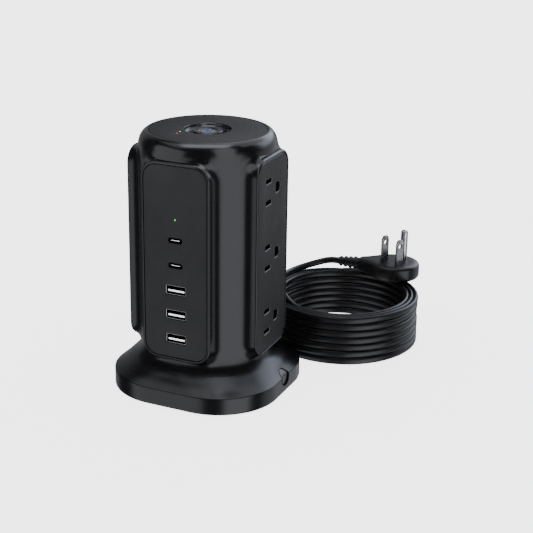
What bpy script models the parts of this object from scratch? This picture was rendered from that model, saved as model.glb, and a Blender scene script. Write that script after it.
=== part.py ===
"""A tower power strip: nine outlets on three sides, five USB sockets on the fourth, a round push switch
on top, a flared base with a reset button, and a coiled mains cord that ends in a flat plug.

Metres, +Z up. The origin is the middle of the base on the surface that the feet stand on. The USB side
faces -Y, and the outlets face +X, +Y and -X. Run with: blender --background --python part.py
"""

import math

import bmesh
import bpy
from mathutils import Vector

MM = 0.001
GAP = 0.3 * MM

# Tower.
TOWER_R = 40.5 * MM
FOOT_HALF = 43.6 * MM
FOOT_CORNER = 41.9 * MM
FOOT_HIGH = 27.0 * MM
TOWER_TOP = 156.1 * MM
TOWER_BOTTOM = 19.2 * MM
TOWER_INNER_R = 38.0 * MM
SHOULDER_WIDE = 5.9 * MM
SHOULDER_TALL = 8.6 * MM
LEDGE_Z = 153.6 * MM
LEDGE_R = 31.5 * MM

# The four raised panels, one on each side, and the plates set into them.
FACE = 42.1 * MM
BOSS_HALF = 21.8 * MM
BOSS_LOW = 26.6 * MM
BOSS_HIGH = 145.6 * MM
BOSS_CORNER = 10.0 * MM
BOSS_DEEP = 20.0 * MM
RIM = 1.6 * MM
PLATE_THICK = 2.3 * MM
PLATE_SUNK = 0.3 * MM
WINDOW_HALF = 17.3 * MM
WINDOW_MARGIN = 6.0 * MM

# Outlets, in their panel's own axes: across to the right, then up.
OUTLETS = 3
OUTLET_MIDDLE = 85.6 * MM
OUTLET_PITCH = 39.5 * MM
BLADE_SPACING = 12.7 * MM
BLADE_TO_GROUND = 11.9 * MM
SLOT_X = -6.2 * MM
SLOT_WIDE = 7.8 * MM
SLOT_TALL = 2.6 * MM
GROUND_R = 2.8 * MM
GROUND_LONG = 3.4 * MM

# Behind each outlet panel: the tray, and the bars with their pairs of leaves.
TRAY_HALF = 15.6 * MM
TRAY_DEEP = 22.5 * MM
TRAY_WALL = 1.6 * MM
TRAY_SPARE = 0.6 * MM
BAR_WIDE = 0.8 * MM
LEAF = 0.7 * MM
BLADE_OPEN = 1.2 * MM
PIN_OPEN = 2.7 * MM

# USB sockets, from the lowest up, on the front panel's centre line.
USB_A = 3
USB_C = 2
USB_LOW = 40.2 * MM
USB_PITCH = 15.02 * MM
USB_A_WIDE = 13.1 * MM
USB_A_TALL = 5.7 * MM
USB_C_WIDE = 9.0 * MM
USB_C_TALL = 3.2 * MM
USB_DEEP = 12.0 * MM
SHELL = 0.5 * MM
TONGUE_SUNK = 1.0 * MM
TONGUE_A = (11.2 * MM, 1.8 * MM)
TONGUE_A_DROP = 0.85 * MM
TONGUE_C = (6.6 * MM, 0.7 * MM)
BOARD_THICK = 1.6 * MM
USB_BOARD_HALF = 14.0 * MM
USB_LAMP_Z = 112.5 * MM
USB_LAMP_R = 0.7 * MM
USB_LAMP_LONG = 10.0 * MM

# Top plate, dish, button and lamps.
TOP_R = 34.1 * MM
DISH_R = 13.8 * MM
BUTTON_R = 8.8 * MM
BUTTON_TOP = 155.2 * MM
BUTTON_TRAVEL = 2.5 * MM
BUTTON_TALL = 9.2 * MM
BUTTON_STEM_R = 3.0 * MM
LENS_R = 5.0 * MM
LENS_SUNK = 0.2 * MM
LENS_SEAT = 1.1 * MM
SWITCH_HALF = 9.0 * MM
SWITCH_TALL = 16.0 * MM
DISH_FLOOR = 153.0 * MM
DISH_LOW = 150.0 * MM
LAMP_R = 1.1 * MM
LAMP_LONG = 5.5 * MM
LAMP_PLACES = {"lamp_surge": (-10.9, -17.5), "lamp_ground": (-11.0, -13.6)}

# Base.
BASE_HALF = 51.8 * MM
BASE_CORNER = 37.8 * MM
BASE_LOW = 0.5 * MM
SKIRT_TOP = 11.0 * MM
BASE_WALL = 2.4 * MM
SLOPE = (
    (BASE_HALF, SKIRT_TOP - 0.5 * MM),
    (BASE_HALF - 0.5 * MM, SKIRT_TOP),
    (BASE_HALF - 3.3 * MM, SKIRT_TOP + 2.6 * MM),
    (BASE_HALF - 5.8 * MM, SKIRT_TOP + 5.4 * MM),
)
FLOOR_TOP = 4.0 * MM
FOOT_R = 5.0 * MM
FOOT_TALL = 2.0 * MM
FOOT_XY = 33.0 * MM
SCREW_XY = (20.0 * MM, 40.0 * MM)
SCREW_R = 1.4 * MM
SCREW_HEAD_R = 3.0 * MM
RESET_Z = 9.2 * MM
RESET_R = 4.9 * MM
RESET_SUNK = 0.8 * MM
RESET_THICK = 5.8 * MM
RESET_STEM_R = 1.8 * MM
RESET_TALL = 8.9 * MM
RESET_TRAVEL = 1.8 * MM
RESET_ROOM = 0.5 * MM
RESET_FLOOR = BASE_HALF - RESET_SUNK - RESET_THICK - RESET_TRAVEL - RESET_ROOM
RESET_HOUSING = RESET_FLOOR - BASE_WALL
BREAKER = (17.0 * MM, 14.0 * MM, 8.0 * MM)
SURGE_LOW = (-30.0 * MM, -22.0 * MM)
SURGE_HIGH = (22.0 * MM, 22.0 * MM)
VARISTOR_R = 7.0 * MM
VARISTOR_THICK = 4.5 * MM
VARISTOR_X = -12.0 * MM
VARISTORS_Y = (-12.0 * MM, 8.0 * MM)

# Cord, coil and plug.
CORD = 4.5 * MM
CORD_THIN = 3.0 * MM
CORD_EXIT = (-8.0 * MM, BASE_HALF, 6.2 * MM)
RELIEF_LONG = 28.2 * MM
COIL_MIDDLE = (50.8 * MM, 95.8 * MM)
COIL_OUT = 48.45 * MM
COIL_LAYERS = 3
COIL_TALL = 32.0 * MM
PLUG_ANGLE = math.radians(62.0)
PLUG_REACH = 46.0 * MM
NECK_ANGLE = math.radians(185.6)
PLUG_R = 16.0 * MM
PLUG_THICK = 11.0 * MM
PLUG_AXIS = 6.2 * MM
NECK_LONG = 10.0 * MM
PLUG_RELIEF_LONG = 14.0 * MM
BLADE_WIDE = 6.35 * MM
BLADE_THICK = 1.5 * MM
BLADE_LONG = 17.0 * MM
PIN_R = 2.4 * MM
PIN_LONG = 20.0 * MM
BLADE_ROOT = 5.0 * MM
BLADE_SET_X = 4.0 * MM
BLADE_SET_TURN = math.radians(62.0)

# The cord's route where it isn't coiled, in millimetres.
LEAD_ROUTE = [
    (-8.0, 80.3, 6.2),
    (-8.0, 86.0, 5.8),
    (-8.0, 92.0, 4.4),
    (-7.6, 98.0, 3.0),
    (-6.6, 104.0, 2.4),
    (-4.6, 110.0, 2.3),
    (-1.4, 116.5, 2.3),
    (3.0, 122.8, 2.3),
    (8.4, 128.6, 2.3),
    (14.7, 133.6, 2.3),
    (21.5, 137.6, 2.3),
]
TAIL_ROUTE = [
    (7.9, 88.2, 34.6),
    (7.2, 97.3, 34.6),
    (8.1, 106.4, 34.6),
    (10.1, 113.9, 34.7),
    (12.9, 120.4, 34.9),
    (16.2, 125.6, 35.4),
    (20.0, 128.8, 36.3),
    (24.4, 131.1, 37.6),
    (29.3, 132.2, 38.4),
    (32.3, 132.5, 38.5),
]

ROUND = 40
SMALL_ROUND = 12
SIDES = {"front": 0.0, "right": 90.0, "back": 180.0, "left": 270.0}


def clear_scene():
    for thing in list(bpy.data.objects):
        bpy.data.objects.remove(thing, do_unlink=True)


def material(name, colour, roughness, metallic=0.0):
    made = bpy.data.materials.get(name) or bpy.data.materials.new(name)
    made.use_nodes = True
    shader = made.node_tree.nodes["Principled BSDF"]
    shader.inputs["Base Color"].default_value = (*colour, 1.0)
    shader.inputs["Roughness"].default_value = roughness
    shader.inputs["Metallic"].default_value = metallic
    return made


def gloss_black():
    return material("gloss_black", (0.012, 0.012, 0.014), 0.22)


def matte_charcoal():
    return material("matte_charcoal", (0.035, 0.035, 0.038), 0.55)


def rubber_black():
    return material("rubber_black", (0.015, 0.015, 0.016), 0.6)


def white_plastic():
    return material("white_plastic", (0.8, 0.8, 0.8), 0.4)


def grey_plastic():
    return material("grey_plastic", (0.35, 0.35, 0.34), 0.5)


def green_board():
    return material("green_board", (0.02, 0.16, 0.06), 0.45)


def brass():
    return material("brass", (0.72, 0.52, 0.22), 0.3, 1.0)


def nickel():
    return material("nickel", (0.7, 0.7, 0.7), 0.22, 1.0)


def lamp_colour(name, colour):
    return material(name, colour, 0.3)


def placed(thing, at, parent):
    thing.location = at
    thing.parent = parent
    return thing


def solid(name, bm, look=None, at=(0.0, 0.0, 0.0), parent=None):
    """Turns a bmesh into a named object with outward faces, at a place in its parent's axes."""
    bmesh.ops.recalc_face_normals(bm, faces=bm.faces)
    mesh = bpy.data.meshes.new(name)
    bm.to_mesh(mesh)
    bm.free()
    mesh.shade_smooth()
    mesh.set_sharp_from_angle(angle=math.radians(35.0))
    thing = bpy.data.objects.new(name, mesh)
    bpy.context.scene.collection.objects.link(thing)
    if look:
        mesh.materials.append(look)
    return placed(thing, at, parent)


def tool(name, bm, at=(0.0, 0.0, 0.0), parent=None):
    """A solid that only cuts or joins others."""
    thing = solid(name, bm, None, at, parent)
    thing.hide_render = True
    thing.display_type = "WIRE"
    return thing


def combine(thing, other, operation):
    step = thing.modifiers.new(f"{operation.lower()}_{other.name}", "BOOLEAN")
    step.operation = operation
    step.solver = "EXACT"
    step.object = other


def cut(thing, *cutters):
    for cutter in cutters:
        combine(thing, cutter, "DIFFERENCE")


def join(thing, *others):
    for other in others:
        combine(thing, other, "UNION")


def frame(name, at=(0.0, 0.0, 0.0), turn=(0.0, 0.0, 0.0), parent=None):
    empty = bpy.data.objects.new(name, None)
    bpy.context.scene.collection.objects.link(empty)
    empty.rotation_euler = turn
    return placed(empty, at, parent)


def side_frame(side):
    """A panel's own axes: X across to the right as it is looked at, Y up, Z out of the panel."""
    return frame(f"axes_{side}", turn=(math.pi / 2, 0.0, math.radians(SIDES[side])))


def rounded_outline(half_x, half_y, corner, steps=6, middle=(0.0, 0.0)):
    """A rectangle with round corners, anticlockwise."""
    points = []
    for quarter, (sx, sy) in enumerate([(1, 1), (-1, 1), (-1, -1), (1, -1)]):
        for step in range(steps + 1):
            angle = math.pi / 2 * (quarter + step / steps)
            x = middle[0] + sx * (half_x - corner) + corner * math.cos(angle)
            y = middle[1] + sy * (half_y - corner) + corner * math.sin(angle)
            points.append((x, y))
    return points


def lofted(rings):
    """A closed solid through rings of 3D points, capped at both ends."""
    bm = bmesh.new()
    loops = [[bm.verts.new(point) for point in ring] for ring in rings]
    count = len(loops[0])
    for low, high in zip(loops, loops[1:]):
        for i in range(count):
            j = (i + 1) % count
            bm.faces.new((low[i], low[j], high[j], high[i]))
    bm.faces.new(reversed(loops[0]))
    bm.faces.new(loops[-1])
    return bm


def extruded(outline, low, high):
    """A flat outline given a thickness along Z."""
    return lofted([[(x, y, z) for x, y in outline] for z in (low, high)])


def box(low, high):
    (x0, y0, z0), (x1, y1, z1) = low, high
    return extruded([(x0, y0), (x1, y0), (x1, y1), (x0, y1)], z0, z1)


def disc(radius, low, high, steps=SMALL_ROUND):
    outline = []
    for i in range(steps):
        angle = 2 * math.pi * i / steps
        outline.append((radius * math.cos(angle), radius * math.sin(angle)))
    return extruded(outline, low, high)


def turned(profile, steps=ROUND, start=0.0):
    """A closed profile of (radius, height) points spun once around Z; radius 0 is a point on the axis."""
    bm = bmesh.new()
    rings = []
    for radius, height in profile:
        if radius == 0.0:
            rings.append([bm.verts.new((0.0, 0.0, height))])
            continue
        ring = []
        for i in range(steps):
            angle = start + 2 * math.pi * i / steps
            ring.append(bm.verts.new((radius * math.cos(angle), radius * math.sin(angle), height)))
        rings.append(ring)
    pairs = list(zip(rings, rings[1:] + rings[:1]))
    for low, high in pairs:
        if len(low) == 1 and len(high) == 1:
            continue
        for i in range(steps):
            j = (i + 1) % steps
            corners = [low[i % len(low)], low[j % len(low)], high[j % len(high)], high[i % len(high)]]
            bm.faces.new(list(dict.fromkeys(corners)))
    return bm


def outlet_heights():
    return [OUTLET_MIDDLE + OUTLET_PITCH * (1 - i) for i in range(OUTLETS)]


def usb_heights():
    return [USB_LOW + USB_PITCH * i for i in range(USB_A + USB_C)]


def panel_outline(inset, corner):
    middle = (0.0, (BOSS_LOW + BOSS_HIGH) / 2)
    return rounded_outline(BOSS_HALF - inset, (BOSS_HIGH - BOSS_LOW) / 2 - inset, corner, 5, middle)


def foot_rings():
    """The tower's flared foot: a rounded square at the bottom that sweeps in to the round column."""
    rings = []
    for share in (1.0, 0.8, 0.5, 0.0):
        flare = share**2.2
        half = TOWER_R - 0.3 * MM + (FOOT_HALF - TOWER_R + 0.3 * MM) * flare
        corner = half - (FOOT_HALF - FOOT_CORNER) * flare - 0.1 * MM * (1 - flare)
        rings.append(base_ring(half, corner, FOOT_HIGH + (TOWER_BOTTOM - FOOT_HIGH) * share))
    return rings


def tower_housing(sides):
    """The tower's shell: a round column with a soft shoulder and four raised panels."""
    profile = [(0.0, TOWER_BOTTOM), (TOWER_R, TOWER_BOTTOM)]
    for step in range(6):
        angle = math.pi / 2 * step / 5
        radius = TOWER_R - SHOULDER_WIDE + SHOULDER_WIDE * math.cos(angle)
        profile.append((radius, TOWER_TOP - SHOULDER_TALL + SHOULDER_TALL * math.sin(angle)))
    profile.append((0.0, TOWER_TOP))
    housing = solid("tower_housing", turned(profile), gloss_black())
    join(housing, tool("tower_foot", lofted(foot_rings())))
    for side, axes in sides.items():
        boss = extruded(panel_outline(0.0, BOSS_CORNER), FACE - BOSS_DEEP, FACE)
        join(housing, tool(f"boss_{side}", boss, parent=axes))
    inside = [
        (0.0, TOWER_BOTTOM - 5.0 * MM),
        (TOWER_INNER_R, TOWER_BOTTOM - 5.0 * MM),
        (TOWER_INNER_R, LEDGE_Z - 9.0 * MM),
        (LEDGE_R, LEDGE_Z - 2.6 * MM),
        (LEDGE_R, LEDGE_Z),
        (TOP_R + GAP, LEDGE_Z),
        (TOP_R + GAP, TOWER_TOP + 4.0 * MM),
        (0.0, TOWER_TOP + 4.0 * MM),
    ]
    cut(housing, tool("tower_inside", turned(inside, 36, math.radians(2.5))))
    for side, axes in sides.items():
        pocket = extruded(
            panel_outline(RIM, BOSS_CORNER - RIM),
            FACE - PLATE_SUNK - PLATE_THICK - GAP,
            FACE + 5.0 * MM,
        )
        window = box(
            (-WINDOW_HALF, BOSS_LOW + WINDOW_MARGIN, FACE - BOSS_DEEP),
            (WINDOW_HALF, BOSS_HIGH - WINDOW_MARGIN, FACE + 2.0 * MM),
        )
        cut(housing, tool(f"pocket_{side}", pocket, parent=axes))
        cut(housing, tool(f"window_{side}", window, parent=axes))
    return housing


def panel_plate(name, axes):
    inset = RIM + GAP
    outline = panel_outline(inset, BOSS_CORNER - inset)
    body = extruded(outline, FACE - PLATE_SUNK - PLATE_THICK, FACE - PLATE_SUNK)
    return solid(name, body, matte_charcoal(), parent=axes)


def through_plate(outline):
    """A cutter of this outline that runs right through a panel's plate."""
    return extruded(outline, FACE - 8.0 * MM, FACE + 4.0 * MM)


def ground_outline():
    """The ground hole: a half circle on the right of a short rectangle."""
    points = [(-GROUND_LONG / 2, GROUND_R), (-GROUND_LONG / 2, -GROUND_R)]
    for step in range(7):
        angle = math.pi * (step / 6 - 0.5)
        points.append((GROUND_R * math.cos(angle) + GROUND_LONG / 4, GROUND_R * math.sin(angle)))
    return points


def outlet_plate(side, axes):
    plate = panel_plate(f"outlet_plate_{side}", axes)
    for number, height in enumerate(outlet_heights()):
        for blade, lift in (("line", BLADE_SPACING / 2), ("neutral", -BLADE_SPACING / 2)):
            slot = through_plate(rounded_outline(SLOT_WIDE / 2, SLOT_TALL / 2, 0.3 * MM, 1))
            place = (SLOT_X, height + lift, 0.0)
            cut(plate, tool(f"slot_{side}_{number}_{blade}", slot, place, axes))
        hole = through_plate(ground_outline())
        place = (SLOT_X + BLADE_TO_GROUND, height, 0.0)
        cut(plate, tool(f"slot_{side}_{number}_ground", hole, place, axes))
    return plate


def comb_outline(spine_x, toward, reach, heights, half_open):
    """A contact bar seen from outside: an upright spine with a pair of leaves at each height."""
    low = heights[0] - half_open - LEAF - 2.0 * MM
    high = heights[-1] + half_open + LEAF + 2.0 * MM
    inner = spine_x + toward * BAR_WIDE
    tip = spine_x + toward * reach
    points = [(spine_x, high), (spine_x, low), (inner, low)]
    for height in heights:
        for near in (-half_open - LEAF, half_open):
            points += [(inner, height + near), (tip, height + near)]
            points += [(tip, height + near + LEAF), (inner, height + near + LEAF)]
    return points + [(inner, high)]


def contacts(side, axes):
    """The tray behind an outlet panel, and its line, neutral and ground bars."""
    half, wall = TRAY_HALF, TRAY_WALL
    low, high = BOSS_LOW + WINDOW_MARGIN + TRAY_SPARE, BOSS_HIGH - WINDOW_MARGIN - TRAY_SPARE
    back, front = FACE - TRAY_DEEP, FACE - PLATE_SUNK - PLATE_THICK - GAP
    tray = solid(f"contact_tray_{side}", box((-half, low, back), (half, high, front)), grey_plastic(),
                 parent=axes)
    hollow = box((wall - half, low + wall, back + wall), (half - wall, high - wall, front + 3.0 * MM))
    cut(tray, tool(f"tray_hollow_{side}", hollow, parent=axes))
    heights = sorted(outlet_heights())
    lines = [height + BLADE_SPACING / 2 for height in heights]
    neutrals = [height - BLADE_SPACING / 2 for height in heights]
    left, right = SLOT_X - SLOT_WIDE / 2 - 1.6 * MM, SLOT_X + SLOT_WIDE / 2 + 1.8 * MM
    ground = SLOT_X + BLADE_TO_GROUND + GROUND_R + 2.2 * MM
    bars = {
        "line": comb_outline(left, 1.0, SLOT_WIDE + 1.4 * MM, lines, BLADE_OPEN),
        "neutral": comb_outline(right, -1.0, SLOT_WIDE + 1.8 * MM, neutrals, BLADE_OPEN),
        "ground": comb_outline(ground, -1.0, 8.0 * MM, heights, PIN_OPEN),
    }
    for name, outline in bars.items():
        bar = extruded(outline, back + wall + GAP, front - 1.0 * MM)
        solid(f"bus_{name}_{side}", bar, brass(), parent=axes)


def usb_shell_outline(kind, inset):
    if kind == "a":
        return rounded_outline(USB_A_WIDE / 2 - inset, USB_A_TALL / 2 - inset, 0.5 * MM, 2)
    half = USB_C_TALL / 2 - inset
    return rounded_outline(USB_C_WIDE / 2 - inset, half, half - 0.02 * MM, 4)


def usb_kinds():
    """The sockets' kinds and numbers from the lowest up."""
    return [("a", i + 1) for i in range(USB_A)] + [("c", i + 1) for i in range(USB_C)]


def usb_panel(axes):
    """The front plate, its sockets, their board and the charging lamp."""
    plate = panel_plate("usb_plate", axes)
    face = FACE - PLATE_SUNK
    for (kind, number), height in zip(usb_kinds(), usb_heights()):
        name = f"usb_{kind}_{number}"
        at = (0.0, height, 0.0)
        opening = through_plate(usb_shell_outline(kind, -GAP))
        cut(plate, tool(f"opening_{name}", opening, at, axes))
        shell = solid(f"{name}_shell", extruded(usb_shell_outline(kind, 0.0), face - USB_DEEP, face),
                      nickel(), at, axes)
        inside = extruded(usb_shell_outline(kind, SHELL), face - USB_DEEP + SHELL, face + 3.0 * MM)
        cut(shell, tool(f"inside_{name}", inside, at, axes))
        wide, tall = TONGUE_A if kind == "a" else TONGUE_C
        middle = -TONGUE_A_DROP if kind == "a" else 0.0
        tongue = box((-wide / 2, middle - tall / 2, face - USB_DEEP + SHELL + GAP),
                     (wide / 2, middle + tall / 2, face - TONGUE_SUNK))
        solid(f"{name}_tongue", tongue, white_plastic() if kind == "a" else nickel(), at, axes)
    lamp_at = (0.0, USB_LAMP_Z, 0.0)
    opening = disc(USB_LAMP_R + GAP, face - 8.0 * MM, face + 3.0 * MM)
    cut(plate, tool("opening_lamp_usb", opening, lamp_at, axes))
    pipe = disc(USB_LAMP_R, face - USB_LAMP_LONG, face)
    solid("lamp_usb", pipe, lamp_colour("lamp_green", (0.1, 0.8, 0.2)), lamp_at, axes)
    board_front = face - USB_DEEP - GAP
    board = box((-USB_BOARD_HALF, USB_LOW - 8.0 * MM, board_front - BOARD_THICK),
                (USB_BOARD_HALF, USB_LAMP_Z + 6.0 * MM, board_front))
    solid("usb_board", board, green_board(), parent=axes)


def top():
    """The round top plate with its dish, the push button in it, the switch below, and two lamps."""
    low = LEDGE_Z + GAP
    profile = [
        (BUTTON_R + 0.4 * MM, DISH_LOW),
        (BUTTON_R + 0.4 * MM, DISH_FLOOR - 0.4 * MM),
        (DISH_R - 1.6 * MM, DISH_FLOOR),
        (DISH_R - 0.4 * MM, 154.4 * MM),
        (DISH_R, TOWER_TOP),
        (TOP_R, TOWER_TOP),
        (TOP_R, low),
        (DISH_R + 3.0 * MM, low),
        (DISH_R + 1.6 * MM, DISH_LOW),
    ]
    plate = solid("top_plate", turned(profile), matte_charcoal())
    looks = {"lamp_surge": (0.9, 0.05, 0.03), "lamp_ground": (0.1, 0.8, 0.2)}
    for name, (x, y) in LAMP_PLACES.items():
        at = (x * MM, y * MM, 0.0)
        hole = disc(LAMP_R + GAP, LEDGE_Z - 4.0 * MM, TOWER_TOP + 3.0 * MM)
        cut(plate, tool(f"hole_{name}", hole, at))
        pipe = disc(LAMP_R, TOWER_TOP - LAMP_LONG, TOWER_TOP)
        solid(name, pipe, lamp_colour(name, looks[name]), at)
    axis = frame("power_button_axis", (0.0, 0.0, BUTTON_TOP))
    flange = BUTTON_R + 1.6 * MM
    cap = [
        (0.0, -BUTTON_TALL),
        (BUTTON_STEM_R, -BUTTON_TALL),
        (BUTTON_STEM_R, -7.4 * MM),
        (flange, -7.4 * MM),
        (flange, -5.8 * MM),
        (BUTTON_R, -5.8 * MM),
        (BUTTON_R, -0.6 * MM),
        (BUTTON_R - 0.6 * MM, 0.0),
        (LENS_R + GAP, -LENS_SUNK),
        (LENS_R + GAP, -LENS_SEAT),
        (0.0, -LENS_SEAT),
    ]
    solid("power_button", turned(cap, 36), gloss_black(), parent=axis)
    lens = disc(LENS_R, GAP - LENS_SEAT, -LENS_SUNK, 24)
    solid("power_lens", lens, lamp_colour("power_lens", (0.05, 0.3, 0.9)), parent=axis)
    switch_top = BUTTON_TOP - BUTTON_TALL - BUTTON_TRAVEL - GAP
    half = SWITCH_HALF
    switch = box((-half, -half, switch_top - SWITCH_TALL), (half, half, switch_top))
    solid("power_switch", switch, grey_plastic())


def base_ring(half, corner, height, steps=7):
    return [(x, y, height) for x, y in rounded_outline(half, half, corner, steps)]


def base_cover():
    """The flared base: an upright skirt, a crisp edge and a slope that curves up to the tower."""
    corners = (BASE_CORNER, BASE_CORNER - 0.5 * MM, BASE_CORNER + 1.8 * MM, BASE_CORNER + 3.4 * MM)
    outer = [base_ring(BASE_HALF, BASE_CORNER, BASE_LOW)]
    outer += [base_ring(half, corner, height) for (half, height), corner in zip(SLOPE, corners)]
    outer.append(base_ring(FOOT_HALF + 0.1 * MM, FOOT_CORNER + 0.1 * MM, TOWER_BOTTOM - GAP))
    cover = solid("base_cover", lofted(outer), gloss_black())
    inner_half, inner_corner = BASE_HALF - BASE_WALL, BASE_CORNER - BASE_WALL
    inner = [
        base_ring(inner_half, inner_corner, BASE_LOW - 3.0 * MM),
        base_ring(inner_half, inner_corner, SKIRT_TOP - 1.2 * MM),
        base_ring(inner_half - 4.0 * MM, inner_corner - 0.2 * MM, SKIRT_TOP + 0.8 * MM),
        base_ring(inner_half - 7.4 * MM, inner_corner + 1.0 * MM, SKIRT_TOP + 2.6 * MM),
        base_ring(TOWER_INNER_R + 0.2 * MM, TOWER_INNER_R, SKIRT_TOP + 4.5 * MM),
        base_ring(TOWER_INNER_R + 0.2 * MM, TOWER_INNER_R, TOWER_BOTTOM + 3.0 * MM),
    ]
    hollow = tool("base_hollow", lofted(inner))
    reset_axes = frame("reset_axes", (0.0, 0.0, RESET_Z), (0.0, math.pi / 2, 0.0))
    reset_boss = disc(RESET_R + 2.3 * MM, RESET_HOUSING, BASE_HALF + 5.0 * MM, 24)
    cut(hollow, tool("reset_boss", reset_boss, parent=reset_axes))
    holes = []
    for number, at in enumerate(screw_places()):
        pillar = disc(3.3 * MM, FLOOR_TOP + GAP, 30.0 * MM)
        cut(hollow, tool(f"pillar_{number}", pillar, at))
        hole = disc(SCREW_R + GAP, 0.0, SKIRT_TOP + 0.8 * MM)
        holes.append(tool(f"pillar_hole_{number}", hole, at))
    recess = disc(RESET_R + RESET_ROOM, RESET_FLOOR, BASE_HALF + 9.0 * MM, 24)
    stem_hole = disc(RESET_STEM_R + 0.4 * MM, RESET_HOUSING - 3.0 * MM, BASE_HALF)
    cord_axes = frame("cord_axes", CORD_EXIT, (-math.pi / 2, 0.0, 0.0))
    cut(cover, hollow, *holes)
    cut(cover, tool("reset_recess", recess, parent=reset_axes))
    cut(cover, tool("reset_stem_hole", stem_hole, parent=reset_axes))
    cut(cover, tool("cord_hole", disc(3.0 * MM, -9.0 * MM, 6.0 * MM), parent=cord_axes))
    return cover


def screw_places():
    x, y = SCREW_XY
    return [(x, y, 0.0), (-x, y, 0.0), (-x, -y, 0.0), (x, -y, 0.0)]


def foot_places():
    return [(sx * FOOT_XY, sy * FOOT_XY, 0.0) for sx, sy in ((1, 1), (-1, 1), (-1, -1), (1, -1))]


def base_floor():
    """The plate that closes the base, with its screws and rubber feet in pockets."""
    half = BASE_HALF - BASE_WALL - GAP
    outline = rounded_outline(half, half, BASE_CORNER - BASE_WALL - GAP, 7)
    floor = solid("base_plate", extruded(outline, BASE_LOW, FLOOR_TOP), matte_charcoal())
    notch_start = RESET_HOUSING - 1.5 * MM
    reset_notch = box((notch_start, -7.8 * MM, -5.0 * MM), (60.0 * MM, 7.8 * MM, 10.0 * MM))
    cord_x = CORD_EXIT[0]
    cord_notch = box((cord_x - 4.0 * MM, 44.5 * MM, -5.0 * MM), (cord_x + 4.0 * MM, 60.0 * MM, 10.0 * MM))
    cut(floor, tool("reset_notch", reset_notch), tool("cord_notch", cord_notch))
    for number, at in enumerate(screw_places()):
        bore = disc(SCREW_R + GAP, -3.0 * MM, 9.0 * MM)
        sink = disc(SCREW_HEAD_R + GAP, -3.0 * MM, BASE_LOW + 1.8 * MM)
        cut(floor, tool(f"screw_bore_{number}", bore, at), tool(f"screw_sink_{number}", sink, at))
        solid(f"base_screw_{number + 1}", turned(screw_profile(), SMALL_ROUND), nickel(), at)
    for number, at in enumerate(foot_places()):
        pocket = disc(FOOT_R + GAP, -3.0 * MM, FOOT_TALL + GAP, 24)
        cut(floor, tool(f"foot_pocket_{number}", pocket, at))
        solid(f"foot_{number + 1}", disc(FOOT_R, 0.0, FOOT_TALL, 24), rubber_black(), at)


def screw_profile():
    head_low = BASE_LOW + 0.1 * MM
    head_high = head_low + 1.4 * MM
    tip = SKIRT_TOP - 0.6 * MM
    return [
        (0.0, head_low),
        (SCREW_HEAD_R, head_low),
        (SCREW_HEAD_R, head_high),
        (SCREW_R, head_high),
        (SCREW_R, tip),
        (0.0, tip),
    ]


def reset_button():
    """The overload breaker's button, which follows the slope and slides straight in, and the breaker."""
    axis = frame("reset_button_axis", (BASE_HALF - RESET_SUNK, 0.0, RESET_Z), (0.0, math.pi / 2, 0.0))
    profile = [
        (0.0, -RESET_TALL),
        (RESET_STEM_R, -RESET_TALL),
        (RESET_STEM_R, -RESET_THICK),
        (RESET_R, -RESET_THICK),
        (RESET_R, -0.5 * MM),
        (RESET_R - 0.5 * MM, 0.0),
        (0.0, 0.0),
    ]
    button = solid("reset_button", turned(profile, 24), gloss_black(), parent=axis)
    above = [(half - RESET_SUNK, height) for half, height in SLOPE]
    above += [(BASE_HALF + 6.0 * MM, SLOPE[-1][1]), (BASE_HALF + 6.0 * MM, SLOPE[0][1])]
    cut(button, tool("reset_slope", lofted([[(x, y, z) for x, z in above] for y in (-8.0 * MM, 8.0 * MM)])))
    front = BASE_HALF - RESET_SUNK - RESET_TALL - RESET_TRAVEL - GAP
    low = FLOOR_TOP + 0.5 * MM
    long, wide, tall = BREAKER
    body = box((front - long, -wide / 2, low), (front, wide / 2, low + tall))
    solid("breaker_body", body, grey_plastic())


def surge_parts():
    """The surge board low in the base, with two round varistors standing on it."""
    low = FLOOR_TOP + 2.0 * MM
    high = low + BOARD_THICK
    solid("surge_board", box((*SURGE_LOW, low), (*SURGE_HIGH, high)), green_board())
    look = material("varistor_blue", (0.03, 0.12, 0.4), 0.5)
    for number, y in enumerate(VARISTORS_Y):
        at = (VARISTOR_X, y, high + VARISTOR_R + 2 * GAP)
        axes = frame(f"varistor_axes_{number}", at, (-math.pi / 2, 0.0, 0.0))
        solid(f"varistor_{number + 1}", disc(VARISTOR_R, 0.0, VARISTOR_THICK, 20), look, parent=axes)


def relief_profile(root_r, tip_r, long, ribs, flange):
    """A tapered strain relief with rings around it, from its root at height 0 to its tip."""
    points = list(flange)
    for rib in range(ribs):
        start, end = rib / ribs, (rib + 0.62) / ribs
        for share, extra in ((start, 0.0), (start, 0.6 * MM), (end, 0.6 * MM), (end, 0.0)):
            radius = root_r + (tip_r - root_r) * share + extra
            points.append((radius, long * share))
    return points + [(tip_r, long), (0.0, long)]


def smooth_points(route, spacing):
    """Evenly spaced points on the smooth curve through a route's points."""
    points = [Vector(point) * MM for point in route]
    first = points[0] * 2 - points[1]
    last = points[-1] * 2 - points[-2]
    ends = [first, *points, last]
    fine = []
    for before, a, b, after in zip(ends, ends[1:], ends[2:], ends[3:]):
        for step in range(20):
            t = step / 20
            cubic = (a - b) * 3 + (after - before)
            square = before * 2 - a * 5 + b * 4 - after
            fine.append((a * 2 + (b - before) * t + square * t**2 + cubic * t**3) / 2)
    fine.append(points[-1])
    total = sum((b - a).length for a, b in zip(fine, fine[1:]))
    count = max(2, round(total / spacing))
    picked, walked, target = [fine[0]], 0.0, total / count
    for a, b in zip(fine, fine[1:]):
        walked += (b - a).length
        if walked >= target * len(picked) and len(picked) < count:
            picked.append(b)
    return [*picked, fine[-1]]


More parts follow.
